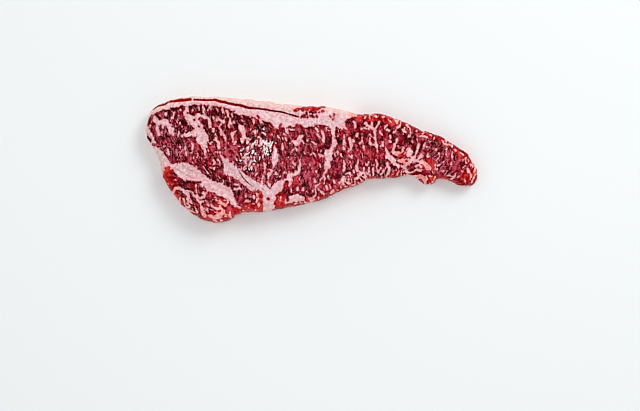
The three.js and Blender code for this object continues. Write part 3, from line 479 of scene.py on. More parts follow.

# Bits of lean so dark that they're nearly black, most of them hard by the fat. A few are painted shade in the
# crevices round the nub, and one is a painted shadow along the lower edge.
DARK_BITS_AND_SHADE = [
    # in the fat of the cap
    [(-6.9, 36.2, 0.3), (-6.5, 36.2, 0.3)],
    [(-3.4, 36.2, 0.3), (-3, 36.2, 0.3)],
    [(1.4, 34.3, 0.5), (2.4, 34.6, 0.4)],
    [(-1.2, 34.8, 0.3), (-0.8, 34.7, 0.3)],
    [(7.8, 35.5, 0.3), (8.2, 35.7, 0.3)],
    [(-3.6, 33.8, 0.5), (-3.5, 33, 0.4)],
    [(-3.3, 30.8, 0.4), (-2.9, 30.6, 0.4)],
    # under the cap
    [(-116.3, 33.3, 0.5), (-114.5, 33, 0.9), (-114, 31.3, 0.8), (-112.8, 30, 0.9)],
    [(-110.3, 35.2, 0.5), (-107.5, 36.3, 0.5)],
    [(-104.8, 36.7, 0.7), (-102, 36.4, 0.7), (-98.5, 37.6, 0.5), (-95.6, 38.9, 0.8), (-95, 36.8, 0.7)],
    [(-91, 38.8, 0.4), (-90, 36, 0.5), (-89.3, 33.8, 0.8), (-87, 33, 0.8)],
    [(-88.5, 39.3, 0.8), (-86, 39.7, 0.9), (-85.2, 37, 0.8)],
    [(-82, 39.3, 0.8), (-81.5, 37, 0.9), (-80.8, 35, 0.5)],
    [(-78.2, 39, 0.7), (-78, 37.6, 0.9), (-76.5, 39.3, 0.5)],
    [(-73.8, 37.6, 0.7), (-72, 38.4, 0.9), (-70.5, 38.5, 0.7)],
    [(-67.3, 37.5, 0.8), (-67.5, 34.6, 0.8)],
    [(-65, 37.3, 0.9), (-64.3, 35.3, 0.8)],
    [(-63, 36.7, 0.5), (-60.6, 36.6, 0.4)],
    [(-60.7, 33.8, 0.5), (-59.3, 34.3, 0.6), (-57.2, 35.2, 0.3)],
    [(-57.3, 32.8, 0.5), (-55, 31.8, 0.8), (-54, 29.5, 1.1), (-53, 27.8, 0.6)],
    [(-53, 31.8, 0.4), (-49, 30.9, 0.8), (-46.2, 31.2, 0.4)],
    [(-43.7, 30.4, 0.4), (-44.3, 27.6, 0.6)],
    [(-40.3, 31.9, 0.4), (-38.9, 30, 0.6), (-38.7, 27.2, 0.5)],
    [(-36.3, 27.8, 0.5), (-34, 26.3, 0.8), (-31.5, 26.1, 0.8), (-29.3, 24.5, 0.6), (-27, 21.7, 0.4)],
    # the eye
    [(-101.4, 32, 0.5), (-101, 30.6, 0.6)],
    [(-105.3, 27.6, 0.9), (-104.8, 27, 0.6)],
    [(-103.2, 24.4, 0.5), (-101.4, 23.4, 0.5)],
    [(-116.6, 26.3, 0.5), (-117.8, 24, 1), (-119.1, 21.3, 0.5), (-118.2, 19.5, 0.5), (-116.7, 18.6, 0.4)],
    [(-120, 30.5, 0.4), (-120.9, 28, 0.6)],
    [(-122.9, 17.3, 0.6), (-121.6, 15, 0.8)],
    [(-108.4, 24, 0.5), (-108.3, 22, 0.8), (-107.2, 20, 0.5)],
    [(-112.2, 24.6, 0.8), (-112.3, 22.8, 1.1), (-110.8, 21.7, 0.7)],
    [(-114.7, 22, 0.5), (-114.5, 21.8, 0.5)],
    [(-97, 19.2, 0.5), (-98.3, 16.8, 0.5)],
    [(-94.6, 20.3, 0.3), (-93.3, 19.5, 0.4)],
    [(-91.5, 15.2, 0.4), (-89.3, 15.7, 0.5), (-87.4, 15, 0.4)],
    [(-92, 34.1, 0.5), (-91.9, 33.9, 0.5)],
    [(-87, 28.9, 0.5), (-86.9, 28.7, 0.5)],
    [(-84, 24.3, 0.6), (-83.6, 24.1, 0.5)],
    [(-77.6, 32.8, 0.8), (-76.7, 32, 0.7)],
    [(-79.5, 23.3, 0.9), (-78.5, 22.3, 0.7)],
    [(-75.8, 18.8, 0.7), (-75, 16.5, 0.9), (-74.3, 14, 1), (-76.3, 12, 0.6)],
    [(-112.3, 8, 0.5), (-110.8, 6.4, 0.6)],
    # between the pool and the middle
    [(-64.3, 28.4, 0.7), (-64.1, 28.1, 0.6)],
    [(-73.3, 28.2, 0.6), (-70.6, 26.8, 0.5)],
    [(-62, 16, 0.6), (-61.8, 15.2, 0.7)],
    [(-60, 24.5, 0.5), (-58.8, 22.1, 0.7), (-56, 21.6, 0.6)],
    [(-52.5, 12, 0.5), (-52.2, 8, 0.5), (-52, 5.5, 0.7), (-53, 3.5, 0.5)],
    [(-67.3, 7.4, 0.6), (-67.7, 6.3, 0.5)],
    [(-64.5, 2, 0.7), (-64.1, 0.8, 0.5)],
    [(-72.5, -2.3, 0.8), (-74, -4.6, 0.6)],
    [(-77, -12.8, 0.9), (-73.3, -14.7, 0.8)],
    [(-70, -13, 0.7), (-67, -15.8, 0.9)],
    [(-63.7, -13.7, 0.9), (-64.6, -15.8, 0.7)],
    [(-64, -18.4, 0.5), (-61.2, -18.8, 0.6), (-58.9, -18.6, 0.8)],
    [(-58.7, -21, 0.6), (-57.3, -25.3, 0.5), (-55.8, -29.3, 0.7), (-54.8, -31.4, 0.7)],
    [(-56.5, -20.8, 0.6), (-54.4, -20.6, 0.6)],
    [(-50, -8.7, 0.6), (-49.2, -8.8, 0.5)],
    [(-44.8, -12.3, 0.5), (-43, -12.9, 0.7), (-43.5, -14.5, 0.4)],
    [(-38.3, -12.5, 0.8), (-37.3, -13.4, 0.6)],
    # in and round the wet patch
    [(-44.5, 2.4, 0.6), (-45.4, 0.4, 0.8), (-46.2, -1.6, 0.6)],
    [(-49.2, 9.2, 0.5), (-47.6, 9.8, 0.6), (-45.8, 9.4, 0.5)],
    [(-52.4, 6.6, 0.5), (-51.8, 4.4, 0.6)],
    [(-48.8, 5.4, 0.5), (-48, 4.8, 0.5)],
    [(-50, 0.4, 0.5), (-49.6, -2.2, 0.6)],
    [(-48.4, -5, 0.5), (-47.4, -6, 0.5)],
    [(-41, 5.6, 0.4), (-41, 3.8, 0.5)],
    [(-42, 0.6, 0.6), (-41.6, -0.4, 0.6)],
    [(-38.6, -1.4, 0.4), (-40.2, -2.8, 0.5)],
    [(-40.4, 11.4, 0.5), (-39.4, 9.4, 0.6), (-38.8, 7.4, 0.5)],
    [(-36.2, 14.6, 0.5), (-37.6, 15.6, 0.6)],
    [(-34.8, 17.4, 0.5), (-36.8, 17.2, 0.5)],
    [(-34, 13.6, 0.5), (-33, 12.6, 0.5)],
    [(-36, 7.4, 0.5), (-35.6, 6, 0.4)],
    [(-30.2, 5.6, 0.5), (-29.8, 3.6, 0.6)],
    [(-32.4, 9.2, 0.5), (-31.5, 11.2, 0.6)],
    [(-33.4, -5, 0.7), (-32.8, -6.5, 0.5)],
    [(-31.4, -8.3, 0.6), (-31.6, -9.2, 0.5)],
    # the muscle beside the small one
    [(-46.8, -28.8, 0.7), (-45.5, -29.8, 0.6)],
    # the middle
    [(-16.4, 20.4, 0.6), (-13, 20.2, 0.4), (-9.8, 19.5, 0.6)],
    [(-6.3, 18.2, 0.5), (-5, 19.6, 0.7), (-4.6, 17.2, 0.6)],
    [(-5.5, 15, 0.6), (-5.2, 13.2, 0.7)],
    [(-16.6, 13.8, 0.8), (-16.5, 12.8, 0.7)],
    [(-14.4, 15.4, 0.6), (-12.2, 14.5, 0.6)],
    [(0.8, 22.6, 0.6), (1.6, 22, 0.5)],
    [(6.7, 18.4, 0.5), (7.8, 16.9, 0.5)],
    [(12.3, 22.4, 0.8), (13.5, 21.9, 0.6)],
    [(14, 18, 0.4), (14.2, 14, 0.5), (13.6, 10, 0.6), (12, 7.8, 0.6)],
    [(8.8, 8.2, 0.6), (9.2, 7.8, 0.5)],
    [(-10.5, -3, 0.5), (-11.3, -6, 0.7), (-13, -8.5, 0.7), (-14.2, -9.8, 0.5)],
    [(-8.2, -0.6, 0.5), (-6.8, -2.8, 0.5)],
    [(-28.6, -17.8, 0.7), (-26.6, -16.7, 0.7), (-25.6, -14.8, 0.4)],
    [(-19.7, -24.3, 0.7), (-16, -25.6, 0.5), (-12.5, -25, 0.6), (-9.5, -24.7, 0.8), (-7.5, -25.8, 0.7)],
    # round the smooth muscle
    [(-4.7, -1.5, 0.6), (-2, -1, 0.6), (0, -1.8, 0.5)],
    [(-6, -5, 0.5), (-7.2, -8, 0.7), (-7.5, -11, 0.7), (-7.2, -14.3, 0.7)],
    [(9, 1.5, 0.4), (8.3, -3, 0.6), (8.6, -8.5, 0.5)],
    [(6.3, -9.5, 0.8), (7.1, -12, 0.8), (5, -15, 0.5), (3.8, -17.7, 0.5), (1, -18.6, 0.5)],
    [(1.7, -21.5, 0.4), (1.3, -26, 0.8), (-0.2, -27, 0.8), (-3, -25.8, 0.5), (-5.5, -26.6, 0.7)],
    [(10.3, -11.5, 0.5), (10.6, -13.8, 0.5)],
    # to the right of the upright seam
    [(25.8, 27.2, 0.8), (28.5, 27.2, 0.8), (30.8, 26.7, 1)],
    [(30, 30.2, 0.6), (31.6, 29.6, 0.5)],
    [(42.3, 27, 0.9), (43, 26.4, 0.6)],
    [(47.5, 27.2, 0.9), (46.4, 25, 0.7)],
    [(52.2, 27, 0.7), (52.1, 25.7, 0.5)],
    [(42.8, 19, 0.7), (44.3, 18.9, 0.7)],
    [(36.4, 17.4, 0.8), (36.8, 17, 0.6)],
    [(31.2, 18.4, 0.5), (30.2, 16, 0.8)],
    [(32.2, 13.4, 0.6), (32.4, 11, 0.6)],
    [(41.3, 11.8, 0.6), (41.3, 9, 0.5)],
    [(42.8, 16.4, 0.5), (42.5, 14.9, 0.4)],
    [(46.4, 12.4, 0.6), (46.2, 11.9, 0.5)],
    [(48.9, 12.2, 0.6), (48.8, 11.6, 0.5)],
    [(57, 17.3, 0.6), (57.6, 19.3, 0.6), (59.4, 19.2, 0.6), (60.8, 17, 0.9), (60, 14.2, 0.6)],
    [(57.4, 6.1, 0.6), (58.8, 4.8, 0.5)],
    [(60.2, -5.8, 0.9), (61, -7.6, 0.6)],
    [(21.8, -13, 0.6), (23, -11.1, 0.7), (24.8, -9.7, 0.6), (27, -9.4, 0.4)],
    [(25.8, -15.3, 0.8), (26.2, -14.9, 0.6)],
    [(28.6, -14.2, 0.7), (29.3, -14.2, 0.6)],
    [(32.4, -12.2, 0.6), (32.7, -12.3, 0.6)],
    [(35.6, -8.4, 0.5), (35.8, -8.5, 0.6)],
    [(40.8, -10.6, 0.5), (41.2, -12, 0.4)],
    [(43.7, -7.4, 0.5), (43.9, -8.8, 0.4)],
    [(47.5, -9.8, 0.4), (47.6, -11.2, 0.4)],
    [(15.2, -20, 0.5), (15.5, -21.2, 0.5)],
    [(15, -17, 0.5), (15.4, -18.2, 0.5)],
    [(53.5, -7.3, 0.5), (54.3, -9.5, 0.4), (53.5, -12, 0.5)],
    [(30.5, -17.8, 0.4), (33.5, -17.5, 0.5), (36.5, -18.4, 0.4)],
    [(19.6, -21.1, 0.5), (19.9, -21.4, 0.5)],
    # towards the tail
    [(66.2, 22.2, 0.8), (64.6, 21, 0.6)],
    [(61.2, 2.6, 0.5), (62.5, 1.2, 0.6), (64.5, 0.6, 0.6), (66.5, 1.4, 0.5), (67.6, 2.8, 0.4)],
    [(63, 7.6, 0.4), (64.3, 7.3, 0.4)],
    [(58.3, -10.5, 0.4), (60.5, -12.4, 0.5), (62.5, -11.5, 0.4)],
    [(66.6, -7, 0.5), (66.8, -9.5, 0.6), (67.8, -11, 0.4)],
    [(72.5, -6, 0.5), (74.5, -7, 0.5), (76.2, -7.8, 0.5)],
    # painted shadow, in the notch under the edge beside the nub
    [(73.5, -11.2, 0.4), (76, -12, 0.9), (78.5, -13, 0.9)],
    [(82.3, -6.6, 0.5), (82.7, -7.6, 0.5)],
    # the nub
    [(80.8, -15.4, 0.4), (82.4, -17.2, 0.7), (84.2, -18.8, 0.5)],
    [(84.2, -11.4, 0.5), (84, -13.2, 0.4)],
    [(87.4, -12.6, 0.5), (87, -15, 0.4), (86.4, -17.4, 0.5)],
    [(91.4, -12.4, 0.5), (91.8, -14.4, 0.5)],
    [(93.6, -13.6, 0.4), (93.2, -15.6, 0.4)],
    # above the mottled patch, and on into the tail
    [(77.4, 23.7, 0.4), (79, 23, 0.4)],
    [(72.8, 15.4, 0.7), (76, 14.7, 0.8)],
    [(81.4, 11.5, 0.6), (81, 8.5, 0.7), (79.8, 5, 0.6), (78, 1.6, 0.4)],
    [(76.7, 7, 0.5), (75.8, 4.5, 0.5), (75, 2.8, 0.4)],
    [(86, 14.2, 0.5), (88.3, 15.4, 0.4)],
    [(93.8, -3.4, 0.5), (96.4, -1.6, 0.4), (98.4, -0.2, 0.4)],
    [(112.8, -2, 0.8), (111, -2.6, 0.5)],
    [(107.2, -6.6, 0.4), (107.8, -8.5, 0.5), (109, -8.7, 0.4)],
    [(112, -7.4, 0.5), (110.8, -9.4, 0.4)],
    # the nub again, and painted shade in the crevice that parts it from the lean above
    [(80.4, -15.6, 0.4), (82, -18, 0.5), (84, -19.6, 0.4)],
    [(78.6, -10.1, 0.5), (81.5, -10.7, 0.6)],
    [(84, -11.6, 0.7), (88, -10.8, 1), (92.5, -11.4, 0.7)],
    # in the mottled patch
    [(72, -5.8, 0.5), (73.8, -4.2, 0.5)],
    [(76.9, -3.3, 0.4), (78.8, -3.2, 0.4)],
    # along the tail's lower rim
    [(102, -15.5, 0.4), (106, -17.2, 0.5), (108.5, -17.3, 0.4)],
    [(109, -18.7, 0.4), (114, -19.2, 0.4), (118, -18.9, 0.3)],
    # the upper rim of the tail, and its tip
    [(90, 19, 0.4), (95, 16.8, 0.5), (99, 14.6, 0.4)],
    [(101, 13.2, 0.4), (105, 10.8, 0.6), (109, 7.9, 0.5)],
    [(110.6, 6.8, 0.5), (114, 4.9, 0.6), (117, 2.6, 0.5)],
    [(118.8, -0.8, 0.4), (120.4, -3.8, 0.5)],
    [(116, -4.4, 0.5), (118, -5.4, 0.5)],
    [(120.4, -7.4, 0.6), (120.6, -9.8, 0.5)],
    [(113.4, -10.6, 0.5), (112.2, -13.4, 0.6)],
    [(116.4, -13.2, 0.5), (115.8, -15.8, 0.5)],
    [(121.4, -14.4, 0.5), (119.6, -17.8, 0.5)],
    [(109.4, -15.2, 0.4), (112.2, -16.4, 0.5)],
    [(107.2, 4.2, 0.4), (109.2, 2.4, 0.5)],
    # the small muscle below the seam
    [(-95.3, -16.6, 0.5), (-90, -17, 0.6), (-82.5, -17.4, 0.5)],
    [(-99, -19.6, 0.5), (-96.5, -20, 0.6), (-94.5, -21.6, 0.8), (-90, -22.2, 1), (-87.5, -23.4, 0.8)],
    [(-83.9, -24.4, 0.6), (-83.6, -24.6, 0.6)],
    [(-82, -26.4, 0.7), (-81.8, -27.4, 0.7)],
    [(-90.3, -27, 0.4), (-88.5, -29, 0.5), (-87.2, -30.8, 0.6), (-84.6, -32.8, 0.5)],
    [(-82, -30.6, 0.4), (-79.8, -29.8, 0.5), (-78, -30, 0.4)],
    [(-76.9, -30.7, 0.4), (-76.2, -31.8, 0.4)],
    [(-82.9, -35.2, 0.4), (-82.6, -36.2, 0.4)],
    [(-97, -30, 0.4), (-96.6, -33.8, 0.4)],
    [(-80.3, -33.2, 0.6), (-79.8, -32.5, 0.5)],
    [(-78.2, -32.6, 0.4), (-77, -34, 0.5)],
    [(-79.9, -36.5, 0.5), (-79.3, -37.8, 0.5)],
    [(-101.2, -25.8, 0.5), (-98, -25.6, 0.6), (-95, -27.2, 0.7), (-93.3, -31, 0.6), (-91.8, -34, 0.4)],
    [(-112, -13, 0.8), (-109, -17.6, 0.5), (-104.4, -23.2, 0.7)],
    [(-73.8, -26.2, 0.5), (-73, -27.7, 0.6), (-71.4, -27, 0.4)],
    [(-76.5, -29.6, 0.4), (-74, -31.2, 0.6), (-71.8, -31.5, 0.5)],
    [(-61, -31.8, 0.5), (-60.8, -34, 0.6)],
    [(-59.2, -35, 0.6), (-58.4, -35.1, 0.5)],
    [(-71.6, -40.8, 0.5), (-71.2, -40.7, 0.5)],
    # painted shadow along the lower edge
    [(-94.5, -38, 0.4), (-91.5, -40, 0.5), (-88.5, -41, 0.6), (-84.5, -42.9, 0.5), (-80, -44.3, 0.4),
     (-77.3, -45.8, 0.8), (-73, -46.7, 0.7), (-67, -46.2, 0.7), (-63.5, -44.5, 0.6)],
]

# Creases and slits, where the cut opens: the long one under the cap's rim, then those in the seams.
CREASES = [
    [(-119.4, 37.5, 0.5), (-116.9, 39, 0.6), (-113.5, 40.3, 0.7), (-109.8, 40.9, 0.6), (-107.3, 42.5, 0.5)],
    [(-105.6, 43.3, 0.8), (-102, 43.6, 1.1), (-97, 44, 1.2), (-90.3, 44.4, 1)],
    [(-87.2, 44.4, 0.7), (-80, 44, 0.7), (-75, 44, 0.8), (-71.5, 44, 0.9), (-68, 42.9, 1), (-64, 42, 0.9),
     (-60, 40.9, 0.8), (-55, 39.9, 0.8), (-52, 39.5, 0.9), (-49, 38.4, 0.9), (-46.5, 37.8, 0.8),
     (-42, 37.5, 0.6), (-37, 36.9, 0.5), (-32, 36.1, 0.6), (-27, 35.3, 0.5), (-23, 34.8, 0.5),
     (-20, 34, 0.5), (-17.8, 33.3, 0.3)],
    [(-16.7, 33, 0.4), (-14, 32.3, 0.5), (-11.5, 31.5, 0.5), (-9.7, 31.2, 0.3)],
    [(-54.6, -7.9, 0.1), (-53, -10.5, 0.2), (-50, -15, 0.25), (-47, -18, 0.2), (-44, -20.3, 0.1)],
    [(2.3, 25.1, 0.1), (6, 24.8, 0.3), (10, 24.4, 0.3), (12.8, 23.6, 0.2)],
    [(-80.3, -20, 0.2), (-78.8, -22.5, 0.3), (-77.5, -24.9, 0.1)],
    [(-36.4, -21.9, 0.1), (-35, -23.8, 0.1)],
]

# Where the lean is a bright red: along the rims, and where it lies thin over the fat. Along the rims the red
# is partly bloom and partly painted light, where the lamps fall on them.
RED_ZONES = [
    [(29.5, 32.6, 2.6), (36, 32.4, 3.4), (42, 32.4, 3.8), (48, 31.6, 3.8), (54, 30.6, 3.6), (60, 28, 3.2),
     (64, 26.5, 2.6), (70, 26, 2), (75, 24, 1.6), (80, 21.4, 1.6), (84, 19, 2.4), (90, 17.8, 2.6),
     (96, 15.6, 2.6), (101, 12.5, 2.8), (107, 8.5, 2.8), (111, 4.5, 3), (116, 2, 3.4), (118, -2, 2.8),
     (121, -7, 2.4), (121, -12, 2.6), (117, -15, 4), (113.5, -13.5, 3), (113, -18, 1.6), (106, -17, 1)],
    [(-13, 37, 2), (-6, 38.5, 2.6), (0, 38, 3), (6, 38, 2.4), (9.5, 38.5, 1.4)],
    [(-107.5, -8, 3), (-109, -13, 3.6), (-106, -17.5, 4.2), (-103, -21.5, 3.2), (-101, -27, 2.4),
     (-97, -31.5, 2.6), (-92, -39, 1.6), (-84, -42.5, 1.6), (-76, -45, 2), (-66, -45, 2.2), (-60.5, -41.5, 3),
     (-57, -38.5, 2.4), (-51, -37.5, 1.6), (-49, -35.3, 1.6), (-44, -35.3, 2.4), (-38, -34.8, 1.8)],
    [(-75, -39.5, 1), (-70, -39, 1.6), (-66, -36.5, 1.6), (-69.5, -32.5, 1.8), (-63, -33, 2.2)],
    [(-81, -39, 1.4), (-78, -42, 2), (-72, -42, 2.4), (-66, -41, 2.4)],
    [(-38, -26.5, 1.6), (-38, -30.5, 1.6)],
    [(-22.5, -27, 2), (-23.5, -32.5, 4), (-18, -30, 1)],
    [(-18.8, -19, 1.6), (-19, -22, 1)],
    [(-12, -16.5, 1.6), (-12.6, -19.5, 1.2)],
    [(-13, -32.5, 1.4), (-7, -32, 1.6), (-3, -30.5, 2), (3, -29, 1.4), (12, -26.5, 1.2), (19, -22.5, 1.8),
     (24, -20.5, 1), (31, -17.5, 1), (37, -16.5, 1.2), (41, -15, 0.6)],
    [(60, -11.5, 2), (67, -11, 1.6)],
    [(86.8, 0, 1.8), (89, -3, 2), (90.4, -7, 1.4)],
    [(93, -12.5, 1.6), (89.5, -14.5, 2.6), (86.5, -17.8, 1.8)],
    [(80, -12, 2), (83.5, -16.5, 2.4)],
    [(63.6, 4.5, 2.6), (68.5, 4.2, 2.6), (68, 8, 1.6)],
    [(66, -1.6, 2), (70, -2, 2.2)],
    [(81.5, -6, 2), (83.5, -4.5, 2.8), (87, -6.5, 2.6)],
]

# Faint brown lines of skin in the fat.
SKIN_LINES = [
    [(-117, 7, 0.4), (-115.3, 4, 0.6), (-114.7, 0, 0.7), (-114, -5, 0.6), (-113.2, -11, 0.4)],
    [(-102.9, -6.3, 0.4), (-99.4, -7.8, 0.4), (-96, -10.3, 0.4), (-91.6, -12.5, 0.5), (-86.3, -15, 0.4)],
    [(-90, -7.8, 0.4), (-86.9, -10.3, 0.4)],
    [(-76, -21.5, 0.4), (-71, -23.6, 0.4)],
    [(-62, 45.8, 0.4), (-55, 45.3, 0.4), (-48, 44.2, 0.4), (-40, 43.3, 0.5), (-33, 42.3, 0.4),
     (-25, 42, 0.4)],
]

# How the lean differs from muscle to muscle: where the middle of a muscle is, which way its grain leans from
# the Y axis in degrees, how dark it is, how much marbling it has, how plainly a fine net shows in it, how
# purple its red is and how coarse its bundles are. The last five are about 0 to 1, below 0 for still less.
Muscle = namedtuple("Muscle", "at leans dark marbled netted purple coarse")
MUSCLES = [
    Muscle((-102, 31), -10, 0.8, 0.0, 0.4, 0.4, 0.5),
    Muscle((-95, 24), -10, 0.8, 0.0, 0.4, 0.4, 0.5),
    Muscle((-87, 37), -10, 0.9, -0.1, 0.3, 0.2, 0.5),
    Muscle((-114, 22), -10, 0.75, 0.05, 0.4, 0.4, 0.5),
    Muscle((-111, 13), -10, 0.6, 0.15, 0.9, 0.7, 0.1),
    Muscle((-104, 7), -10, 0.6, -0.1, 0.7, 0.7, 0.2),
    Muscle((-95, 5), -12, 0.65, 0.1, 1.0, 0.8, 0.0),
    Muscle((-86, 8), -14, 0.55, 0.0, 0.6, 0.3, 0.2),
    Muscle((-80, -4), -16, 0.6, 0.1, 0.5, 0.0, 0.3),
    Muscle((-72, -12), -20, 0.8, 0.4, 0.4, 0.5, 0.2),
    Muscle((-69, 33), -15, 0.9, 0.3, 0.4, 0.3, 0.6),
    Muscle((-72, 20), -15, 0.8, 0.2, 0.3, 0.2, 0.6),
    Muscle((-60, 25), -15, 0.7, 0.25, 0.3, 0.2, 0.7),
    Muscle((-56, 16), -15, 0.5, 0.1, 0.3, 0.0, 0.7),
    Muscle((-59, 6), -18, 0.1, 0.2, 0.7, 0.4, 0.3),
    Muscle((-72, 5), -18, 0.45, 0.2, 0.5, 0.1, 0.3),
    Muscle((-45, 22), -8, 0.6, 0.15, 0.3, 0.2, 0.6),
    Muscle((-36, 24), -5, 0.5, 0.0, 0.3, 0.0, 0.6),
    Muscle((-37, 10), 0, 1.0, 0.5, 0.5, 0.3, 0.0),
    Muscle((-47, 0), 5, 0.95, 0.45, 0.6, 0.5, 0.0),
    Muscle((-42, -9), 5, 0.4, 0.25, 0.8, 0.5, 0.3),
    Muscle((-32, -3), 0, 0.7, 0.2, 0.4, 0.2, 0.4),
    Muscle((-24, 12), -5, 0.35, 0.15, 0.4, 0.1, 0.6),
    Muscle((-14, 17), -5, 0.45, 0.15, 0.4, 0.3, 0.6),
    Muscle((-16, 2), -5, 0.3, 0.2, 0.7, 0.5, 0.3),
    Muscle((-23, -9), 0, 0.45, 0.35, 0.8, 0.6, 0.1),
    Muscle((4, 16), -12, 0.35, -0.3, 0.4, 0.4, 0.6),
    Muscle((-2, 8), -8, 0.2, -0.2, 0.7, 0.8, 0.3),
    Muscle((0, -9), 0, -0.5, -1.3, 0.6, 0.9, 0.2),
    Muscle((-3, -21), 0, -0.1, -1.0, 0.6, 0.9, 0.3),
    Muscle((4, -2), -30, 0.3, 0.0, 0.2, 0.0, 0.8),
    Muscle((22, 17), -18, 0.3, 0.15, 0.3, 0.0, 0.7),
    Muscle((24, 5), -18, 0.3, 0.25, 0.5, 0.3, 0.5),
    Muscle((21, -7), -18, 0.3, -0.5, 0.7, 0.7, 0.3),
    Muscle((37, 21), -15, 0.4, 0.15, 0.3, 0.1, 0.8),
    Muscle((36, 7), -15, 0.25, 0.15, 0.4, 0.1, 0.7),
    Muscle((38, -4), -10, 0.4, 0.25, 0.6, 0.4, 0.4),
    Muscle((51, 7), -8, 0.35, 0.0, 0.3, 0.0, 0.7),
    Muscle((45, 32), -5, 0.0, 0.1, 0.3, 0.0, 0.5),
    Muscle((52, 19), -8, 0.35, 0.1, 0.3, 0.1, 0.6),
    Muscle((60, 22), -5, 0.5, 0.3, 0.3, 0.2, 0.5),
    Muscle((50, -8), -5, 0.6, 0.4, 0.5, 0.4, 0.3),
    Muscle((30, -14), -20, 0.3, 0.75, 0.5, 0.1, 0.2),
    Muscle((72, 13), 5, 0.5, 0.15, 0.6, 0.5, 0.4),
    Muscle((70, 22), 0, 0.45, 0.35, 0.3, 0.1, 0.4),
    Muscle((75, -2), 30, 0.3, 0.7, 0.5, 0.0, 0.3),
    Muscle((86, 10), 15, 0.45, 0.05, 0.8, 0.5, 0.2),
    Muscle((98, 3), 20, 0.4, 0.05, 0.9, 0.6, 0.2),
    Muscle((101, 11.5), 20, 0.9, 0.1, 0.5, 0.2, 0.4),
    Muscle((107, -2), 15, 0.4, 0.1, 0.8, 0.5, 0.2),
    Muscle((99, -10), 35, 0.35, 0.15, 0.8, 0.4, 0.1),
    Muscle((116, -10), 10, 0.15, 0.3, 0.4, 0.0, 0.4),
    Muscle((88, -14), -30, 0.1, 0.1, 0.3, 0.0, 0.5),
    Muscle((-106, -14), 0, 0.7, 0.0, 0.3, 0.0, 0.3),
    Muscle((-93, -19), 0, 0.5, 0.0, 0.4, 0.4, 0.3),
    Muscle((-82, -22), 0, 0.5, 0.0, 0.3, 0.2, 0.3),
    Muscle((-86, -33), 0, 0.4, 0.35, 0.6, 0.3, 0.1),
    Muscle((-72, -37), 0, 0.2, 0.65, 0.5, 0.0, 0.2),
    Muscle((-59, -38), 0, 0.2, 0.3, 0.3, 0.0, 0.3),
    Muscle((-49, -26), -10, 0.45, 0.35, 0.6, 0.4, 0.2),
    Muscle((-43, -36), 0, -0.3, 0.2, 0.3, 0.0, 0.3),
    Muscle((-23, -31), 0, 0.35, 0.0, 0.3, 0.0, 0.4),
    Muscle((-15, -20), 0, 0.3, 0.0, 0.2, 0.0, 0.5),
    Muscle((12, -24), 0, 0.4, 0.35, 0.5, 0.1, 0.2),
]

# The small muscle below the lower seam has a grain of its own: the line that parts it off, and its lean in
# degrees.
PARTING_LINE = ((-112, 0), (-50, -36))
SMALL_MUSCLE_LEANS = -52
# The line in plan that the rest of the grain is sheared about: its slope, and its Y where X is 0.
MIDDLE_LINE = (-0.05, 4.0)

# A wet patch that glints.
WET_PATCH = [
    [(-37, 18.5, 3), (-36.5, 13, 4.3), (-34, 8.5, 4.8), (-31.5, 4.5, 4.2)],
    [(-40, 10.5, 4.5), (-44.5, 7, 5.8), (-46, 2, 5.8), (-46, -3, 5.3)],
]

# What is listed, under the name of the relief's input that takes it.
HAND_LAID = {
    "Cap fat": CAP_FAT,
    "Seam fat": SEAM_FAT,
    "Flecks": FLECKS,
    "Lean bits": LEAN_BITS,
    "Dark bits": DARK_BITS_AND_SHADE,
    "Creases": CREASES,
    "Red zones": RED_ZONES,
    "Skin lines": SKIN_LINES,
    "Wet patch": WET_PATCH,
}


# ---- Wiring nodes ----
VECTOR = "FLOAT_VECTOR"  # the kind of data that is three numbers to a point
HALF = (0.5, 0.5, 0.5)
FLAT = (1, 1, 0)  # times this, a place drops to the floor


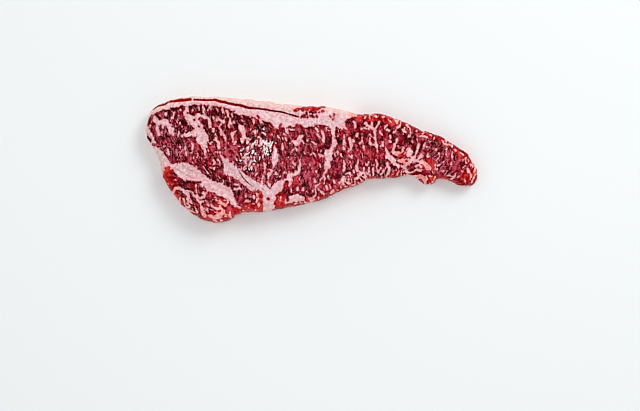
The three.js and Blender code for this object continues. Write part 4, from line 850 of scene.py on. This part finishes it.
class Wiring:
    """Adds nodes to one tree. A socket takes a number, a vector, a colour or another node's output."""

    def __init__(self, tree):
        self.tree = tree

    def add(self, kind, values=None, out=0, **settings):
        """A new node's output, or the node itself where out is None."""
        node = self.tree.nodes.new(kind)
        # The settings come first, because they decide what kinds of sockets the node has.
        for name, setting in settings.items():
            setattr(node, name, setting)
        for key, value in (values or {}).items():
            self.feed(node.inputs[key], value)
        return node if out is None else node.outputs[out]

    def feed(self, socket, value):
        if isinstance(value, bpy.types.NodeSocket):
            self.tree.links.new(value, socket)
        else:
            socket.default_value = value

    def math(self, operation, *values):
        return self.add("ShaderNodeMath", dict(enumerate(values)), operation=operation)

    def plus(self, a, b):
        return self.math("ADD", a, b)

    def minus(self, a, b):
        return self.math("SUBTRACT", a, b)

    def times(self, a, b):
        return self.math("MULTIPLY", a, b)

    def times_plus(self, a, b, c):
        return self.math("MULTIPLY_ADD", a, b, c)

    def smaller(self, a, b):
        return self.math("MINIMUM", a, b)

    def larger(self, a, b):
        return self.math("MAXIMUM", a, b)

    def vector(self, operation, *values, out=0):
        return self.add("ShaderNodeVectorMath", dict(enumerate(values)), out, operation=operation)

    def scaled(self, vector, factor):
        return self.add("ShaderNodeVectorMath", {0: vector, 3: factor}, operation="SCALE")

    def along(self, vector, way):
        """How far a place lies along a direction."""
        return self.vector("DOT_PRODUCT", vector, way, out="Value")

    def ease(self, value, start, end, low=0.0, high=1.0):
        """Low up to the start, high from the end on, and smoothly from one to the other between them."""
        values = {0: value, 1: start, 2: end, 3: low, 4: high}
        return self.add("ShaderNodeMapRange", values, interpolation_type="SMOOTHSTEP")

    def fade(self, value, start, end):
        """1 up to the start, and 0 from the end on."""
        return self.ease(value, start, end, 1.0, 0.0)

    def blend(self, share, a, b):
        return self.add("ShaderNodeMix", {0: share, 2: a, 3: b})

    def tint(self, share, a, b):
        return self.add("ShaderNodeMix", {0: share, 6: a, 7: b}, 2, data_type="RGBA")

    def noise(self, where, size, detail=2.0, roughness=0.5, out=0):
        values = {"Vector": where, "Scale": 1 / size, "Detail": detail, "Roughness": roughness}
        return self.add("ShaderNodeTexNoise", values, out)

    def swing(self, where, size, detail=2.0, roughness=0.5):
        """Noise that swings about zero."""
        return self.minus(self.noise(where, size, detail, roughness), 0.5)

    def push(self, where, size, reach, detail=2.0):
        """A vector that turns from place to place, about that long at the most."""
        turning = self.noise(where, size, detail, out=1)
        return self.scaled(self.vector("SUBTRACT", turning, HALF), 2 * reach)

    def warped(self, where, size, reach):
        return self.vector("ADD", where, self.push(where, size, reach))

    def cell_edge(self, where):
        """How far it is to the border of the nearest of many small cells."""
        values = {"Vector": where, "Scale": 1.0}
        return self.add("ShaderNodeTexVoronoi", values, feature="DISTANCE_TO_EDGE")

    def split(self, vector):
        return self.add("ShaderNodeSeparateXYZ", {0: vector}, out=None).outputs

    def join(self, x, y, z):
        return self.add("ShaderNodeCombineXYZ", {0: x, 1: y, 2: z})


def new_group(name, kind, inputs, outputs):
    """A node group with named sockets; returns it with its wiring and what its inputs give, by name."""
    group = bpy.data.node_groups.new(name, kind)
    for socket_name, socket_type, default in inputs:
        socket = group.interface.new_socket(name=socket_name, in_out="INPUT", socket_type=socket_type)
        if default is not None:
            socket.default_value = default
    for socket_name, socket_type in outputs:
        group.interface.new_socket(name=socket_name, in_out="OUTPUT", socket_type=socket_type)
    entry = group.nodes.new("NodeGroupInput")
    group.nodes.new("NodeGroupOutput")
    return group, Wiring(group), entry.outputs


def close_group(wiring, results):
    exit_node = next(n for n in wiring.tree.nodes if n.bl_idname == "NodeGroupOutput")
    for name, value in results.items():
        wiring.tree.links.new(value, exit_node.inputs[name])


# ---- The surface ----
def place(obj):
    bpy.context.scene.collection.objects.link(obj)
    return obj


def merged_copy(node):
    """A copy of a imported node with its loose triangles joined."""
    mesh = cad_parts[node].data.copy()
    work = bmesh.new()
    work.from_mesh(mesh)
    bmesh.ops.remove_doubles(work, verts=work.verts, dist=MERGE_WITHIN * MM)
    work.to_mesh(mesh)
    work.free()
    mesh.materials.clear()
    return place(bpy.data.objects.new("slab", mesh))


def applied(obj, name):
    """What the object's modifiers make of it, as a plain mesh in a new object; the old one goes."""
    graph = bpy.context.evaluated_depsgraph_get()
    mesh = bpy.data.meshes.new_from_object(obj.evaluated_get(graph))
    bpy.data.objects.remove(obj)
    return place(bpy.data.objects.new(name, mesh))


def fine_surface(slab):
    """The slab with small, even faces, which are what the relief moves."""
    remesh = slab.modifiers.new("Fine surface", "REMESH")
    remesh.mode = "VOXEL"
    remesh.voxel_size = VOXEL * MM
    remesh.use_smooth_shade = True
    even = slab.modifiers.new("Even out", "SMOOTH")
    even.iterations = SURFACE_ROUNDS
    even.factor = SURFACE_SHARE
    return applied(slab, "slab")


def line_object(name, lines):
    """The listed lines as one curve object, flat on the floor, with the half widths as radii."""
    curve = bpy.data.curves.new(name, "CURVE")
    curve.dimensions = "3D"
    for line in lines:
        spline = curve.splines.new("BEZIER")
        spline.bezier_points.add(len(line) - 1)
        for point, (x, y, half_width) in zip(spline.bezier_points, line):
            point.co = (x * MM, y * MM, 0)
            point.radius = half_width
            point.handle_left_type = point.handle_right_type = "AUTO"
    return place(bpy.data.objects.new(name, curve))


def muscle_object():
    """One point for each muscle, with its looks as attributes."""
    mesh = bpy.data.meshes.new("muscles")
    mesh.from_pydata([(m.at[0] * MM, m.at[1] * MM, 0) for m in MUSCLES], [], [])
    look = mesh.attributes.new("look", VECTOR, "POINT")
    bearing = mesh.attributes.new("bearing", VECTOR, "POINT")
    for i, m in enumerate(MUSCLES):
        look.data[i].vector = (m.dark, m.marbled, m.netted)
        bearing.data[i].vector = (math.tan(math.radians(m.leans)), m.purple, m.coarse)
    return place(bpy.data.objects.new("muscles", mesh))


def line_distance_group():
    """How far, in millimetres, a place in plan is from the nearest line's edge, and negative inside it."""
    group, w, given = new_group(
        "Distance to lines",
        "GeometryNodeTree",
        [("Lines", "NodeSocketObject", None), ("Place", "NodeSocketVector", None)],
        [("Distance", "NodeSocketFloat")],
    )
    curve = w.add("GeometryNodeObjectInfo", {"Object": given["Lines"]}, "Geometry")
    fine = w.add("GeometryNodeResampleCurve", {"Curve": curve, "Length": LINE_STEP * MM}, mode="LENGTH")
    points = w.add("GeometryNodeCurveToPoints", {"Curve": fine}, mode="EVALUATED")
    metres = w.scaled(given["Place"], MM)
    away = w.add("GeometryNodeProximity", {0: points, 2: metres}, "Distance", target_element="POINTS")
    nearest = w.add("GeometryNodeSampleNearest", {0: points, 1: metres})
    radius = w.add("GeometryNodeInputRadius")
    half_width = w.add("GeometryNodeSampleIndex", {0: points, 1: radius, 2: nearest})
    close_group(w, {"Distance": w.minus(w.times(away, 1 / MM), half_width)})
    return group


def between_bundles(w, grain, coarse):
    """High between the bundles of lean and low inside them, the same for the relief and the colour."""
    wavy = w.warped(w.warped(grain, *BUNDLE_BEND), *BUNDLE_FRAY)
    fine = w.swing(w.vector("DIVIDE", wavy, FINE_BUNDLE), 1.0, 1.0)
    large = w.swing(w.vector("DIVIDE", wavy, LARGE_BUNDLE), 1.0, 1.0)
    fine = w.times(fine, w.times_plus(coarse, -0.75, 1.0))
    large = w.times(large, w.times(coarse, 1.2))
    return w.plus(w.plus(large, 0.5), fine)


def relief_tree(distance_group):
    """Lays the fields that the material reads, then raises bundles, sinks seams and opens creases."""
    sources = [(name, "NodeSocketObject", None) for name in (*HAND_LAID, "Muscles")]
    sizes = [
        ("Crease depth", "NodeSocketFloat", CREASE_DEPTH),
        ("Seam groove", "NodeSocketFloat", SEAM_GROOVE),
        ("Bundle bulge", "NodeSocketFloat", BUNDLE_BULGE),
        ("Knife wave", "NodeSocketFloat", KNIFE_WAVE),
        ("Side lumps", "NodeSocketFloat", SIDE_LUMPS),
    ]
    tree, w, given = new_group(
        "Steak relief",
        "GeometryNodeTree",
        [("Slab", "NodeSocketGeometry", None), *sources, *sizes, ("Material", "NodeSocketMaterial", None)],
        [("Steak", "NodeSocketGeometry")],
    )
    where = w.scaled(w.add("GeometryNodeInputPosition"), 1 / MM)
    x, y, z = w.split(where)
    normal = w.add("GeometryNodeInputNormal")
    tilt = w.split(normal)[2]
    mesh = given["Slab"]

    def stored(mesh, name, value, data_type="FLOAT"):
        values = {0: mesh, "Name": name, "Value": value}
        return w.add("GeometryNodeStoreNamedAttribute", values, data_type=data_type, domain="POINT")

    def read(name, data_type="FLOAT"):
        return w.add("GeometryNodeInputNamedAttribute", {"Name": name}, data_type=data_type)

    def blurred(value, rounds, data_type="FLOAT"):
        values = {"Value": value, "Iterations": rounds}
        return w.add("GeometryNodeBlurAttribute", values, data_type=data_type)

    # How far the surface has turned from the cut face to the side.
    mesh = stored(mesh, "side", blurred(w.fade(tilt, *SIDE_TILTS), SIDE_ROUNDS))

    # Below the face the seams stray, so the sides and the underside don't repeat what lies above them.
    stray = w.scaled(w.push(where, STRAY_SIZE, STRAY, detail=1.0), w.fade(z, *STRAY_HEIGHTS))
    strayed = w.vector("MULTIPLY", w.vector("ADD", where, stray), FLAT)

    # What lies only in the face goes no more than a little way down the sides.
    ragged_tilt = w.times_plus(w.swing(where, 4.0), 0.7, tilt)
    sunk = blurred(w.ease(ragged_tilt, *SINK_TILTS, FACE_SINK, 0.0), SINK_ROUNDS)

    def distance_to(source):
        values = {"Lines": given[source], "Place": strayed}
        return w.add("GeometryNodeGroup", values, "Distance", node_tree=distance_group)

    mesh = stored(mesh, "broad_fat", w.smaller(distance_to("Cap fat"), distance_to("Seam fat")))
    mesh = stored(mesh, "fleck", distance_to("Flecks"))
    mesh = stored(mesh, "red_zone", distance_to("Red zones"))
    only_in_face = {
        "lean_bit": "Lean bits",
        "dark_bit": "Dark bits",
        "crease": "Creases",
        "skin_line": "Skin lines",
        "wet_patch": "Wet patch",
    }
    for name, source in only_in_face.items():
        mesh = stored(mesh, name, w.plus(distance_to(source), sunk))

    # Each place takes the looks of the nearest muscle, evened out towards its neighbours.
    muscles = w.add("GeometryNodeObjectInfo", {"Object": given["Muscles"]}, "Geometry")
    in_plan = w.scaled(w.vector("MULTIPLY", where, FLAT), MM)
    nearest = w.add("GeometryNodeSampleNearest", {0: muscles, 1: in_plan})
    for name in ("look", "bearing"):
        values = {0: muscles, 1: read(name, VECTOR), 2: nearest}
        mesh = stored(mesh, name, w.add("GeometryNodeSampleIndex", values, data_type=VECTOR), VECTOR)
        mesh = stored(mesh, name, blurred(read(name, VECTOR), MUSCLE_ROUNDS, VECTOR), VECTOR)

    # Grain coordinates: sheared so that the second one runs along the muscle's grain, or turned in the small
    # muscle.
    slope = w.split(read("bearing", VECTOR))[0]
    middle = w.times_plus(x, *MIDDLE_LINE)
    across = w.minus(x, w.times(slope, w.minus(y, middle)))
    sheared = w.join(across, y, z)
    turn = -math.radians(SMALL_MUSCLE_LEANS)
    turned = w.join(
        w.along(where, (math.cos(turn), math.sin(turn), 0)),
        w.along(where, (-math.sin(turn), math.cos(turn), 0)),
        z,
    )
    (x0, y0), (x1, y1) = PARTING_LINE
    beyond = w.along(where, (y0 - y1, x1 - x0, 0))
    in_small_muscle = w.math("LESS_THAN", beyond, (y0 - y1) * x0 + (x1 - x0) * y0)
    change = w.scaled(w.vector("SUBTRACT", turned, sheared), in_small_muscle)
    mesh = stored(mesh, "grain", w.vector("ADD", sheared, change), VECTOR)

    # Relief, in millimetres along the normal.
    coarse = w.split(read("bearing", VECTOR))[2]
    between = between_bundles(w, read("grain", VECTOR), coarse)
    broad_fat = read("broad_fat")
    lean = w.ease(w.larger(broad_fat, w.times(read("lean_bit"), -1.0)), -0.4, 0.8)
    bulge = w.times(w.fade(between, 0.35, 0.6), given["Bundle bulge"])
    # Where the face is wet, the film of juice fills the dips.
    bulge = w.times(bulge, w.ease(read("wet_patch"), -2.0, 2.0, 0.7, 1.0))
    groove = w.times(w.fade(w.math("ABSOLUTE", broad_fat), 0.0, 1.3), given["Seam groove"])
    fleck_sink = w.times(w.fade(read("fleck"), -0.3, 0.6), given["Seam groove"])
    cut = w.times(w.fade(read("crease"), -0.5, 0.6), given["Crease depth"])
    wave = w.times(w.swing(where, KNIFE_MARK, 3.0), w.times(given["Knife wave"], 2.0))
    lumps = w.swing(w.vector("MULTIPLY", where, LUMP_SQUEEZE), LUMP_SIZE, 3.0, 0.6)
    lumps = w.times(w.times(lumps, given["Side lumps"]), 2.0)
    height = w.times(bulge, lean)
    for rise in (wave, w.times(lumps, read("side"))):
        height = w.plus(height, rise)
    for dip in (groove, fleck_sink, cut):
        height = w.minus(height, dip)
    height = w.times(height, w.ease(z, *REST_BAND))
    moved = w.scaled(normal, w.times(height, MM))
    mesh = w.add("GeometryNodeSetPosition", {"Geometry": mesh, "Offset": moved})
    # Nothing sinks into the surface that the steak lies on.
    kept_up = w.vector("MAXIMUM", w.add("GeometryNodeInputPosition"), LOWEST)
    mesh = w.add("GeometryNodeSetPosition", {"Geometry": mesh, "Position": kept_up})
    mesh = w.add("GeometryNodeSetShadeSmooth", {0: mesh})
    mesh = w.add("GeometryNodeRealizeInstances", {0: mesh})
    mesh = w.add("GeometryNodeSetMaterial", {"Geometry": mesh, "Material": given["Material"]})
    close_group(w, {"Steak": mesh})
    return tree


def dressed(slab, tree, values, name):
    """The slab as the tree makes it, with the tree's inputs set by name, as a finished piece."""
    modifier = slab.modifiers.new("Relief", "NODES")
    modifier.node_group = tree
    for socket in tree.interface.items_tree:
        if socket.item_type == "SOCKET" and socket.in_out == "INPUT" and socket.name in values:
            modifier[socket.identifier] = values[socket.name]
    return applied(slab, name)


# ---- Materials ----
def colour(red, green, blue):
    """A colour given as the eye sees it, 0 to 255, in the linear values that a shader takes."""

    def linear(value):
        share = value / 255
        return share / 12.92 if share <= 0.04045 else ((share + 0.055) / 1.055) ** 2.4

    return (linear(red), linear(green), linear(blue), 1.0)


# The lean's tones, each from its blackest to its lightest.
CRIMSON_LEAN = (colour(52, 0, 2), colour(92, 0, 8), colour(148, 11, 30), colour(196, 62, 76))
PURPLE_LEAN = (colour(54, 0, 8), colour(90, 2, 16), colour(140, 24, 46), colour(182, 78, 96))
RED_LEAN = (colour(84, 0, 0), colour(122, 0, 3), colour(172, 6, 9), colour(212, 58, 54))
NET_PINK = colour(208, 112, 128)
# Where fat thins out into lean.
CRIMSON_BLUSH = colour(180, 54, 66)
PURPLE_BLUSH = colour(156, 76, 90)
# The fat of the face, of the sides, and in the red zones.
LILAC_FAT = colour(204, 154, 165)
FACE_FAT = colour(217, 160, 164)
FLECK_PINK = colour(222, 142, 149)
PALE_FAT = colour(233, 205, 208)
SIDE_FAT = colour(236, 205, 198)
SALMON_FAT = colour(228, 174, 164)
CORAL_FAT = colour(230, 132, 126)
LIGHT_CORAL_FAT = colour(250, 186, 177)
SKIN_BROWN = colour(168, 134, 124)
# The creases turn from the red to the dark over this stretch of X, in millimetres.
CREASE_RED = colour(152, 8, 10)
CREASE_DARK = colour(128, 6, 18)
CREASE_TURN = (-75.0, -45.0)

# How far the edges of what is listed crumble, in millimetres.
EDGE_CRUMBLE = 0.9

FLESH_ROUGHNESS = 0.3
FLESH_SPECULAR = 0.02
# The film of juice.
DRY_COAT = 0.02
SIDE_COAT = 0.2
WET_COAT = 1.0
COAT_ROUGHNESS = 0.08
COAT_IOR = 1.8
GLINT_SIZE = 2.0  # millimetres
GLINT_SCATTER = 26.0  # how far the glints break up the wet patch, in millimetres
# The fine bumps, with their sizes in millimetres.
BUMP_DEPTH = 0.12
BUMP_STRENGTH = 0.4
PORE_SIZE = 0.7
RIPPLE_SIZE = 0.9
RIPPLE_HEIGHT = 7.0  # as a multiple of the pores' height

FLOOR_COLOUR = colour(238, 242, 243)
FLOOR_ROUGHNESS = 0.75


def marbling_group():
    """The lean's pattern: what lies between its bundles, how far off the nearest fat is in millimetres, the
    fine net inside the bundles, the painted shade in the gaps between them, and how their tone varies."""
    group, w, given = new_group(
        "Marbling",
        "ShaderNodeTree",
        [
            ("Grain", "NodeSocketVector", None),
            ("Marbled", "NodeSocketFloat", 0.5),
            ("Netted", "NodeSocketFloat", 0.5),
            ("Coarse", "NodeSocketFloat", 0.5),
        ],
        [
            ("Between", "NodeSocketFloat"),
            ("Fat distance", "NodeSocketFloat"),
            ("Net", "NodeSocketFloat"),
            ("Gap shade", "NodeSocketFloat"),
            ("Tone", "NodeSocketFloat"),
        ],
    )
    grain, marbled, netted, coarse = (given[name] for name in ("Grain", "Marbled", "Netted", "Coarse"))
    through = LARGE_BUNDLE[2]
    wavy = w.warped(grain, 7.0, 1.8)

    def along_grain(across, along, seed, detail=1.0):
        """Noise drawn out along the grain, from 0 to 1 about a middle of 0.5."""
        drawn_out = w.vector("DIVIDE", wavy, (across, along, through))
        return w.noise(w.vector("ADD", drawn_out, (seed, seed, seed)), 1.0, detail)

    def near_middle(noise, reach):
        """1 along the wandering lines where a noise passes its middle, and 0 that far away from them."""
        return w.fade(w.math("ABSOLUTE", w.minus(noise, 0.5)), 0.0, reach)

    # Fat collects between the bundles, and most along the lines that part one group of them from the next.
    between = between_bundles(w, grain, coarse)
    lines = near_middle(along_grain(6.0, 13.0, seed=5.0, detail=1.5), 0.06)
    lines = w.times(lines, w.ease(along_grain(4.0, 8.0, seed=31.0), 0.4, 0.62))
    fatness = w.times_plus(lines, 0.17, between)
    fatness = w.times_plus(marbled, 0.17, fatness)
    fatness = w.times_plus(w.swing(grain, 8.0, 1.0), 0.16, fatness)
    distance = w.times(w.minus(0.73, fatness), 6.0)
    specks = w.times(w.minus(0.76, along_grain(1.0, 2.2, seed=50.0)), 3.0)
    distance = w.smaller(distance, specks)

    net = near_middle(along_grain(1.8, 3.6, seed=80.0, detail=2.0), 0.08)
    net_shows = w.times_plus(netted, 0.3, along_grain(2.4, 3.6, seed=95.0))
    net = w.times(net, w.ease(net_shows, 0.5, 0.8))

    # Painted shade in the gaps that part one bundle from the next, here open and there closed.
    edge = w.cell_edge(w.vector("DIVIDE", w.warped(wavy, 2.0, 0.5), (4.2, 7.0, through)))
    opening = w.minus(along_grain(2.0, 3.0, seed=140.0), 0.5)
    gap_shade = w.fade(w.times_plus(opening, 0.7, edge), 0.0, 0.16)
    gap_shade = w.times(gap_shade, w.times_plus(coarse, 0.6, 0.4))

    tone = w.minus(along_grain(2.8, 5.4, seed=110.0, detail=2.0), 0.5)
    tone = w.times_plus(w.swing(grain, 9.0), 0.6, tone)
    close_group(w, {"Between": between, "Fat distance": distance, "Net": net, "Gap shade": gap_shade, "Tone": tone})
    return group


def raw_beef():
    """The meat: lean with its marbling, fat, faint skin and creases, under a film of juice."""
    material = bpy.data.materials.new("Raw beef")
    material.use_nodes = True
    w = Wiring(material.node_tree)
    shader = material.node_tree.nodes["Principled BSDF"]

    def field(name, out="Fac"):
        return w.add("ShaderNodeAttribute", out=out, attribute_name=name)

    where = w.scaled(w.add("ShaderNodeTexCoord", out="Object"), 1 / MM)
    dark, marbled, netted = w.split(field("look", "Vector"))
    _, purple, coarse = w.split(field("bearing", "Vector"))
    side = field("side")
    looks = {
        "Grain": field("grain", "Vector"),
        "Marbled": w.times_plus(w.ease(side, 0.05, 0.5), 0.3, marbled),
        "Netted": netted,
        "Coarse": coarse,
    }
    marbling = w.add("ShaderNodeGroup", looks, out=None, node_tree=marbling_group()).outputs
    between = w.minus(marbling["Between"], 0.5)
    fine = w.swing(where, 1.1, 2.0, 0.6)

    def ragged(name, fingers):
        """The distance to what was listed, with its edge drawn out between the bundles and crumbled."""
        fingered = w.times_plus(between, -fingers, field(name))
        return w.times_plus(fine, -EDGE_CRUMBLE, fingered)

    # How far into the lean from the nearest fat, in millimetres, and negative in the fat.
    dark_bit = ragged("dark_bit", -2.0)
    lean_bit = w.minus(w.smaller(dark_bit, ragged("lean_bit", -2.5)), 0.25)
    broad = w.larger(ragged("broad_fat", 5.0), w.times(lean_bit, -1.0))
    depth = w.smaller(broad, w.minus(ragged("fleck", 3.0), 0.12))
    depth = w.smaller(depth, marbling["Fat distance"])
    fat_share = w.fade(depth, -0.4, 0.1)
    blush = w.fade(depth, -0.05, 0.5)

    # How light the lean is, from 0 to 1.
    light = w.times_plus(marbling["Tone"], 2.4, 0.64)
    light = w.times_plus(dark, -0.5, light)
    # Painted shade: the lean is darker between its bundles, lighter on them, and darker still in the gaps.
    light = w.minus(light, w.ease(between, -0.06, 0.1, -0.08, 0.22))
    light = w.times_plus(marbling["Gap shade"], -0.3, light)
    light = w.times_plus(marbling["Net"], 0.35, light)
    light = w.plus(light, w.ease(depth, 0.0, 1.4, -0.12, 0.1))
    # The dark bits darken the lean; a few of them are painted shade and painted shadow.
    light = w.minus(light, w.ease(dark_bit, -0.4, 0.6, 0.45, 0.0))

    def toned(light, blackest, darkest, middle, lightest):
        tone = w.tint(w.ease(light, 0.0, 0.3), blackest, darkest)
        tone = w.tint(w.ease(light, 0.25, 0.6), tone, middle)
        return w.tint(w.ease(light, 0.6, 1.0), tone, lightest)

    lean = w.tint(purple, toned(light, *CRIMSON_LEAN), toned(light, *PURPLE_LEAN))
    net = marbling["Net"]
    lean = w.tint(w.times(w.times(net, net), 0.8), lean, NET_PINK)

    # In the red zones and on the sides the lean is a brighter red, and its muscles differ less: partly bloom,
    # and partly painted light where the lamps fall on the rims.
    in_red_zone = w.fade(ragged("red_zone", 3.0), -1.2, 1.2)
    reddened = w.larger(in_red_zone, w.ease(side, 0.55, 1.0, 0.0, 0.8))
    light = w.times_plus(w.times(dark, reddened), 0.3, light)
    light = w.times_plus(light, 0.75, 0.3)
    lean = w.tint(reddened, lean, toned(light, *RED_LEAN))
    lean = w.tint(blush, lean, w.tint(purple, CRIMSON_BLUSH, PURPLE_BLUSH))

    fat_noise = w.noise(where, 2.2, 4.0, 0.65)
    mottled = w.ease(fat_noise, 0.35, 0.65)
    fat = w.tint(w.ease(fat_noise, 0.36, 0.64), w.tint(purple, FACE_FAT, LILAC_FAT), PALE_FAT)
    rosy = w.ease(w.noise(where, 5.0, 4.0, 0.6), 0.5, 0.72, 0.0, 0.5)
    fat = w.tint(w.larger(rosy, w.ease(depth, -1.5, -0.2, 0.0, 0.6)), fat, FLECK_PINK)
    fat = w.tint(w.ease(side, 0.1, 0.7), fat, w.tint(mottled, SALMON_FAT, SIDE_FAT))
    # In the red zones the fat is coral; along the rims this is partly painted light.
    fat = w.tint(w.times(in_red_zone, 0.85), fat, w.tint(mottled, CORAL_FAT, LIGHT_CORAL_FAT))
    skin = w.fade(w.times_plus(fine, 1.6, field("skin_line")), -0.3, 0.3)
    fat = w.tint(w.times(skin, w.ease(side, 0.4, 0.9, 0.7, 0.12)), fat, SKIN_BROWN)

    surface = w.tint(fat_share, lean, fat)
    crease = w.fade(w.times_plus(fine, 0.8, field("crease")), 0.0, 0.5)
    crease_tone = w.tint(w.ease(w.split(where)[0], *CREASE_TURN), CREASE_RED, CREASE_DARK)
    surface = w.tint(crease, surface, crease_tone)

    # The juice, which lies in a patch of many small glints and thinly on the sides.
    patchy = w.times_plus(w.swing(where, GLINT_SIZE, 3.0), GLINT_SCATTER, field("wet_patch"))
    wet = w.fade(patchy, -1.5, 1.0)
    moist = w.blend(w.ease(side, 0.92, 1.0), DRY_COAT, SIDE_COAT)
    ripples = w.times(w.noise(where, RIPPLE_SIZE, 1.0), w.times(wet, RIPPLE_HEIGHT))
    height = w.times_plus(light, 0.5, w.noise(where, PORE_SIZE))
    height = w.plus(height, ripples)
    bumps = {"Height": height, "Distance": BUMP_DEPTH * MM, "Strength": BUMP_STRENGTH}

    shader.inputs["Roughness"].default_value = FLESH_ROUGHNESS
    shader.inputs["Specular IOR Level"].default_value = FLESH_SPECULAR
    shader.inputs["Coat Roughness"].default_value = COAT_ROUGHNESS
    shader.inputs["Coat IOR"].default_value = COAT_IOR
    w.feed(shader.inputs["Base Color"], surface)
    w.feed(shader.inputs["Coat Weight"], w.blend(wet, moist, WET_COAT))
    w.feed(shader.inputs["Normal"], w.add("ShaderNodeBump", bumps))
    return material


def plain_floor():
    material = bpy.data.materials.new("Pale floor")
    material.use_nodes = True
    shader = material.node_tree.nodes["Principled BSDF"]
    shader.inputs["Base Color"].default_value = FLOOR_COLOUR
    shader.inputs["Roughness"].default_value = FLOOR_ROUGHNESS
    return material


# ---- The stage, in metres and watts ----
CAMERA_HEIGHT = 1.139
CAMERA_OVER = (6.2 * MM, -34.5 * MM)
LENS = 85  # like the sensor, in millimetres
SENSOR = 36
KEY_SOFTBOX = {"at": (1.0, 1.05, 1.2), "size": 0.9, "power": 13.5}
OVERHEAD = {"at": (-0.081, 0.044, 1.2), "size": 0.34, "power": 2.6}
WALL_GLOW = 0.87  # the studio's pale walls
CEILING_GLOW = 0.03  # and its darker ceiling
CEILING_EDGE = (0.75, 0.97)  # the walls darken into it between these, where straight up is 1
FLOOR_HALF = 3.0
FLOOR_DROP = 0.05 * MM  # keeps the floor just clear of the underside
CRISPNESS = 0.09
DISPLAY_GAMMA = 2.2


def add_floor():
    half = FLOOR_HALF
    mesh = bpy.data.meshes.new("floor")
    corners = [(-half, -half), (half, -half), (half, half), (-half, half)]
    mesh.from_pydata([(x, y, -FLOOR_DROP) for x, y in corners], [], [(0, 1, 2, 3)])
    mesh.materials.append(plain_floor())
    floor = place(bpy.data.objects.new("floor", mesh))


def add_light(name, at, size, power):
    """A round softbox that faces the steak."""
    light = bpy.data.lights.new(name, "AREA")
    light.shape = "DISK"
    light.size = size
    light.energy = power
    lamp = place(bpy.data.objects.new(name, light))
    lamp.location = at
    lamp.rotation_euler = (-Vector(at)).to_track_quat("-Z", "Y").to_euler()


def add_camera():
    camera = bpy.data.cameras.new("camera")
    camera.lens = LENS
    camera.sensor_width = SENSOR
    eye = place(bpy.data.objects.new("camera", camera))
    eye.location = (*CAMERA_OVER, CAMERA_HEIGHT)
    bpy.context.scene.camera = eye


def add_world():
    world = bpy.data.worlds.new("world")
    world.use_nodes = True
    w = Wiring(world.node_tree)
    up = w.split(w.add("ShaderNodeTexCoord", out="Generated"))[2]
    background = world.node_tree.nodes["Background"]
    background.inputs["Color"].default_value = (1, 1, 1, 1)
    w.feed(background.inputs["Strength"], w.ease(up, *CEILING_EDGE, WALL_GLOW, CEILING_GLOW))
    bpy.context.scene.world = world


def add_crispness(scene):
    """A light sharpening of the picture's lightness, done on its tones as the eye sees them."""
    scene.use_nodes = True
    scene.node_tree.nodes.clear()
    w = Wiring(scene.node_tree)
    picture = w.add("CompositorNodeRLayers", out="Image")
    seen = w.add("CompositorNodeGamma", {"Image": picture, "Gamma": 1 / DISPLAY_GAMMA})
    parts = w.add("CompositorNodeSeparateColor", {"Image": seen}, out=None, mode="YUV").outputs
    sharp = w.add("CompositorNodeFilter", {"Fac": CRISPNESS, "Image": parts[0]}, filter_type="SHARPEN")
    sharpened = {0: sharp, 1: parts[1], 2: parts[2], 3: parts[3]}
    joined = w.add("CompositorNodeCombineColor", sharpened, mode="YUV")
    shown = w.add("CompositorNodeGamma", {"Image": joined, "Gamma": DISPLAY_GAMMA})
    w.add("CompositorNodeComposite", {"Image": shown}, out=None)


def set_stage():
    add_floor()
    add_camera()
    add_world()
    add_light("key softbox", **KEY_SOFTBOX)
    add_light("overhead", **OVERHEAD)
    scene = bpy.context.scene
    scene.view_settings.view_transform = "Standard"
    scene.view_settings.look = "None"
    add_crispness(scene)


# ---- Making it ----
def make_steak():
    helpers = {name: line_object(name.lower(), lines) for name, lines in HAND_LAID.items()}
    helpers["Muscles"] = muscle_object()
    slab = fine_surface(merged_copy("steak"))
    tree = relief_tree(line_distance_group())
    steak = dressed(slab, tree, {**helpers, "Material": raw_beef()}, "beef_steak")
    for helper in helpers.values():
        bpy.data.objects.remove(helper)
    return steak


set_stage()
steak = make_steak()
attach(steak, "root")
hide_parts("steak")
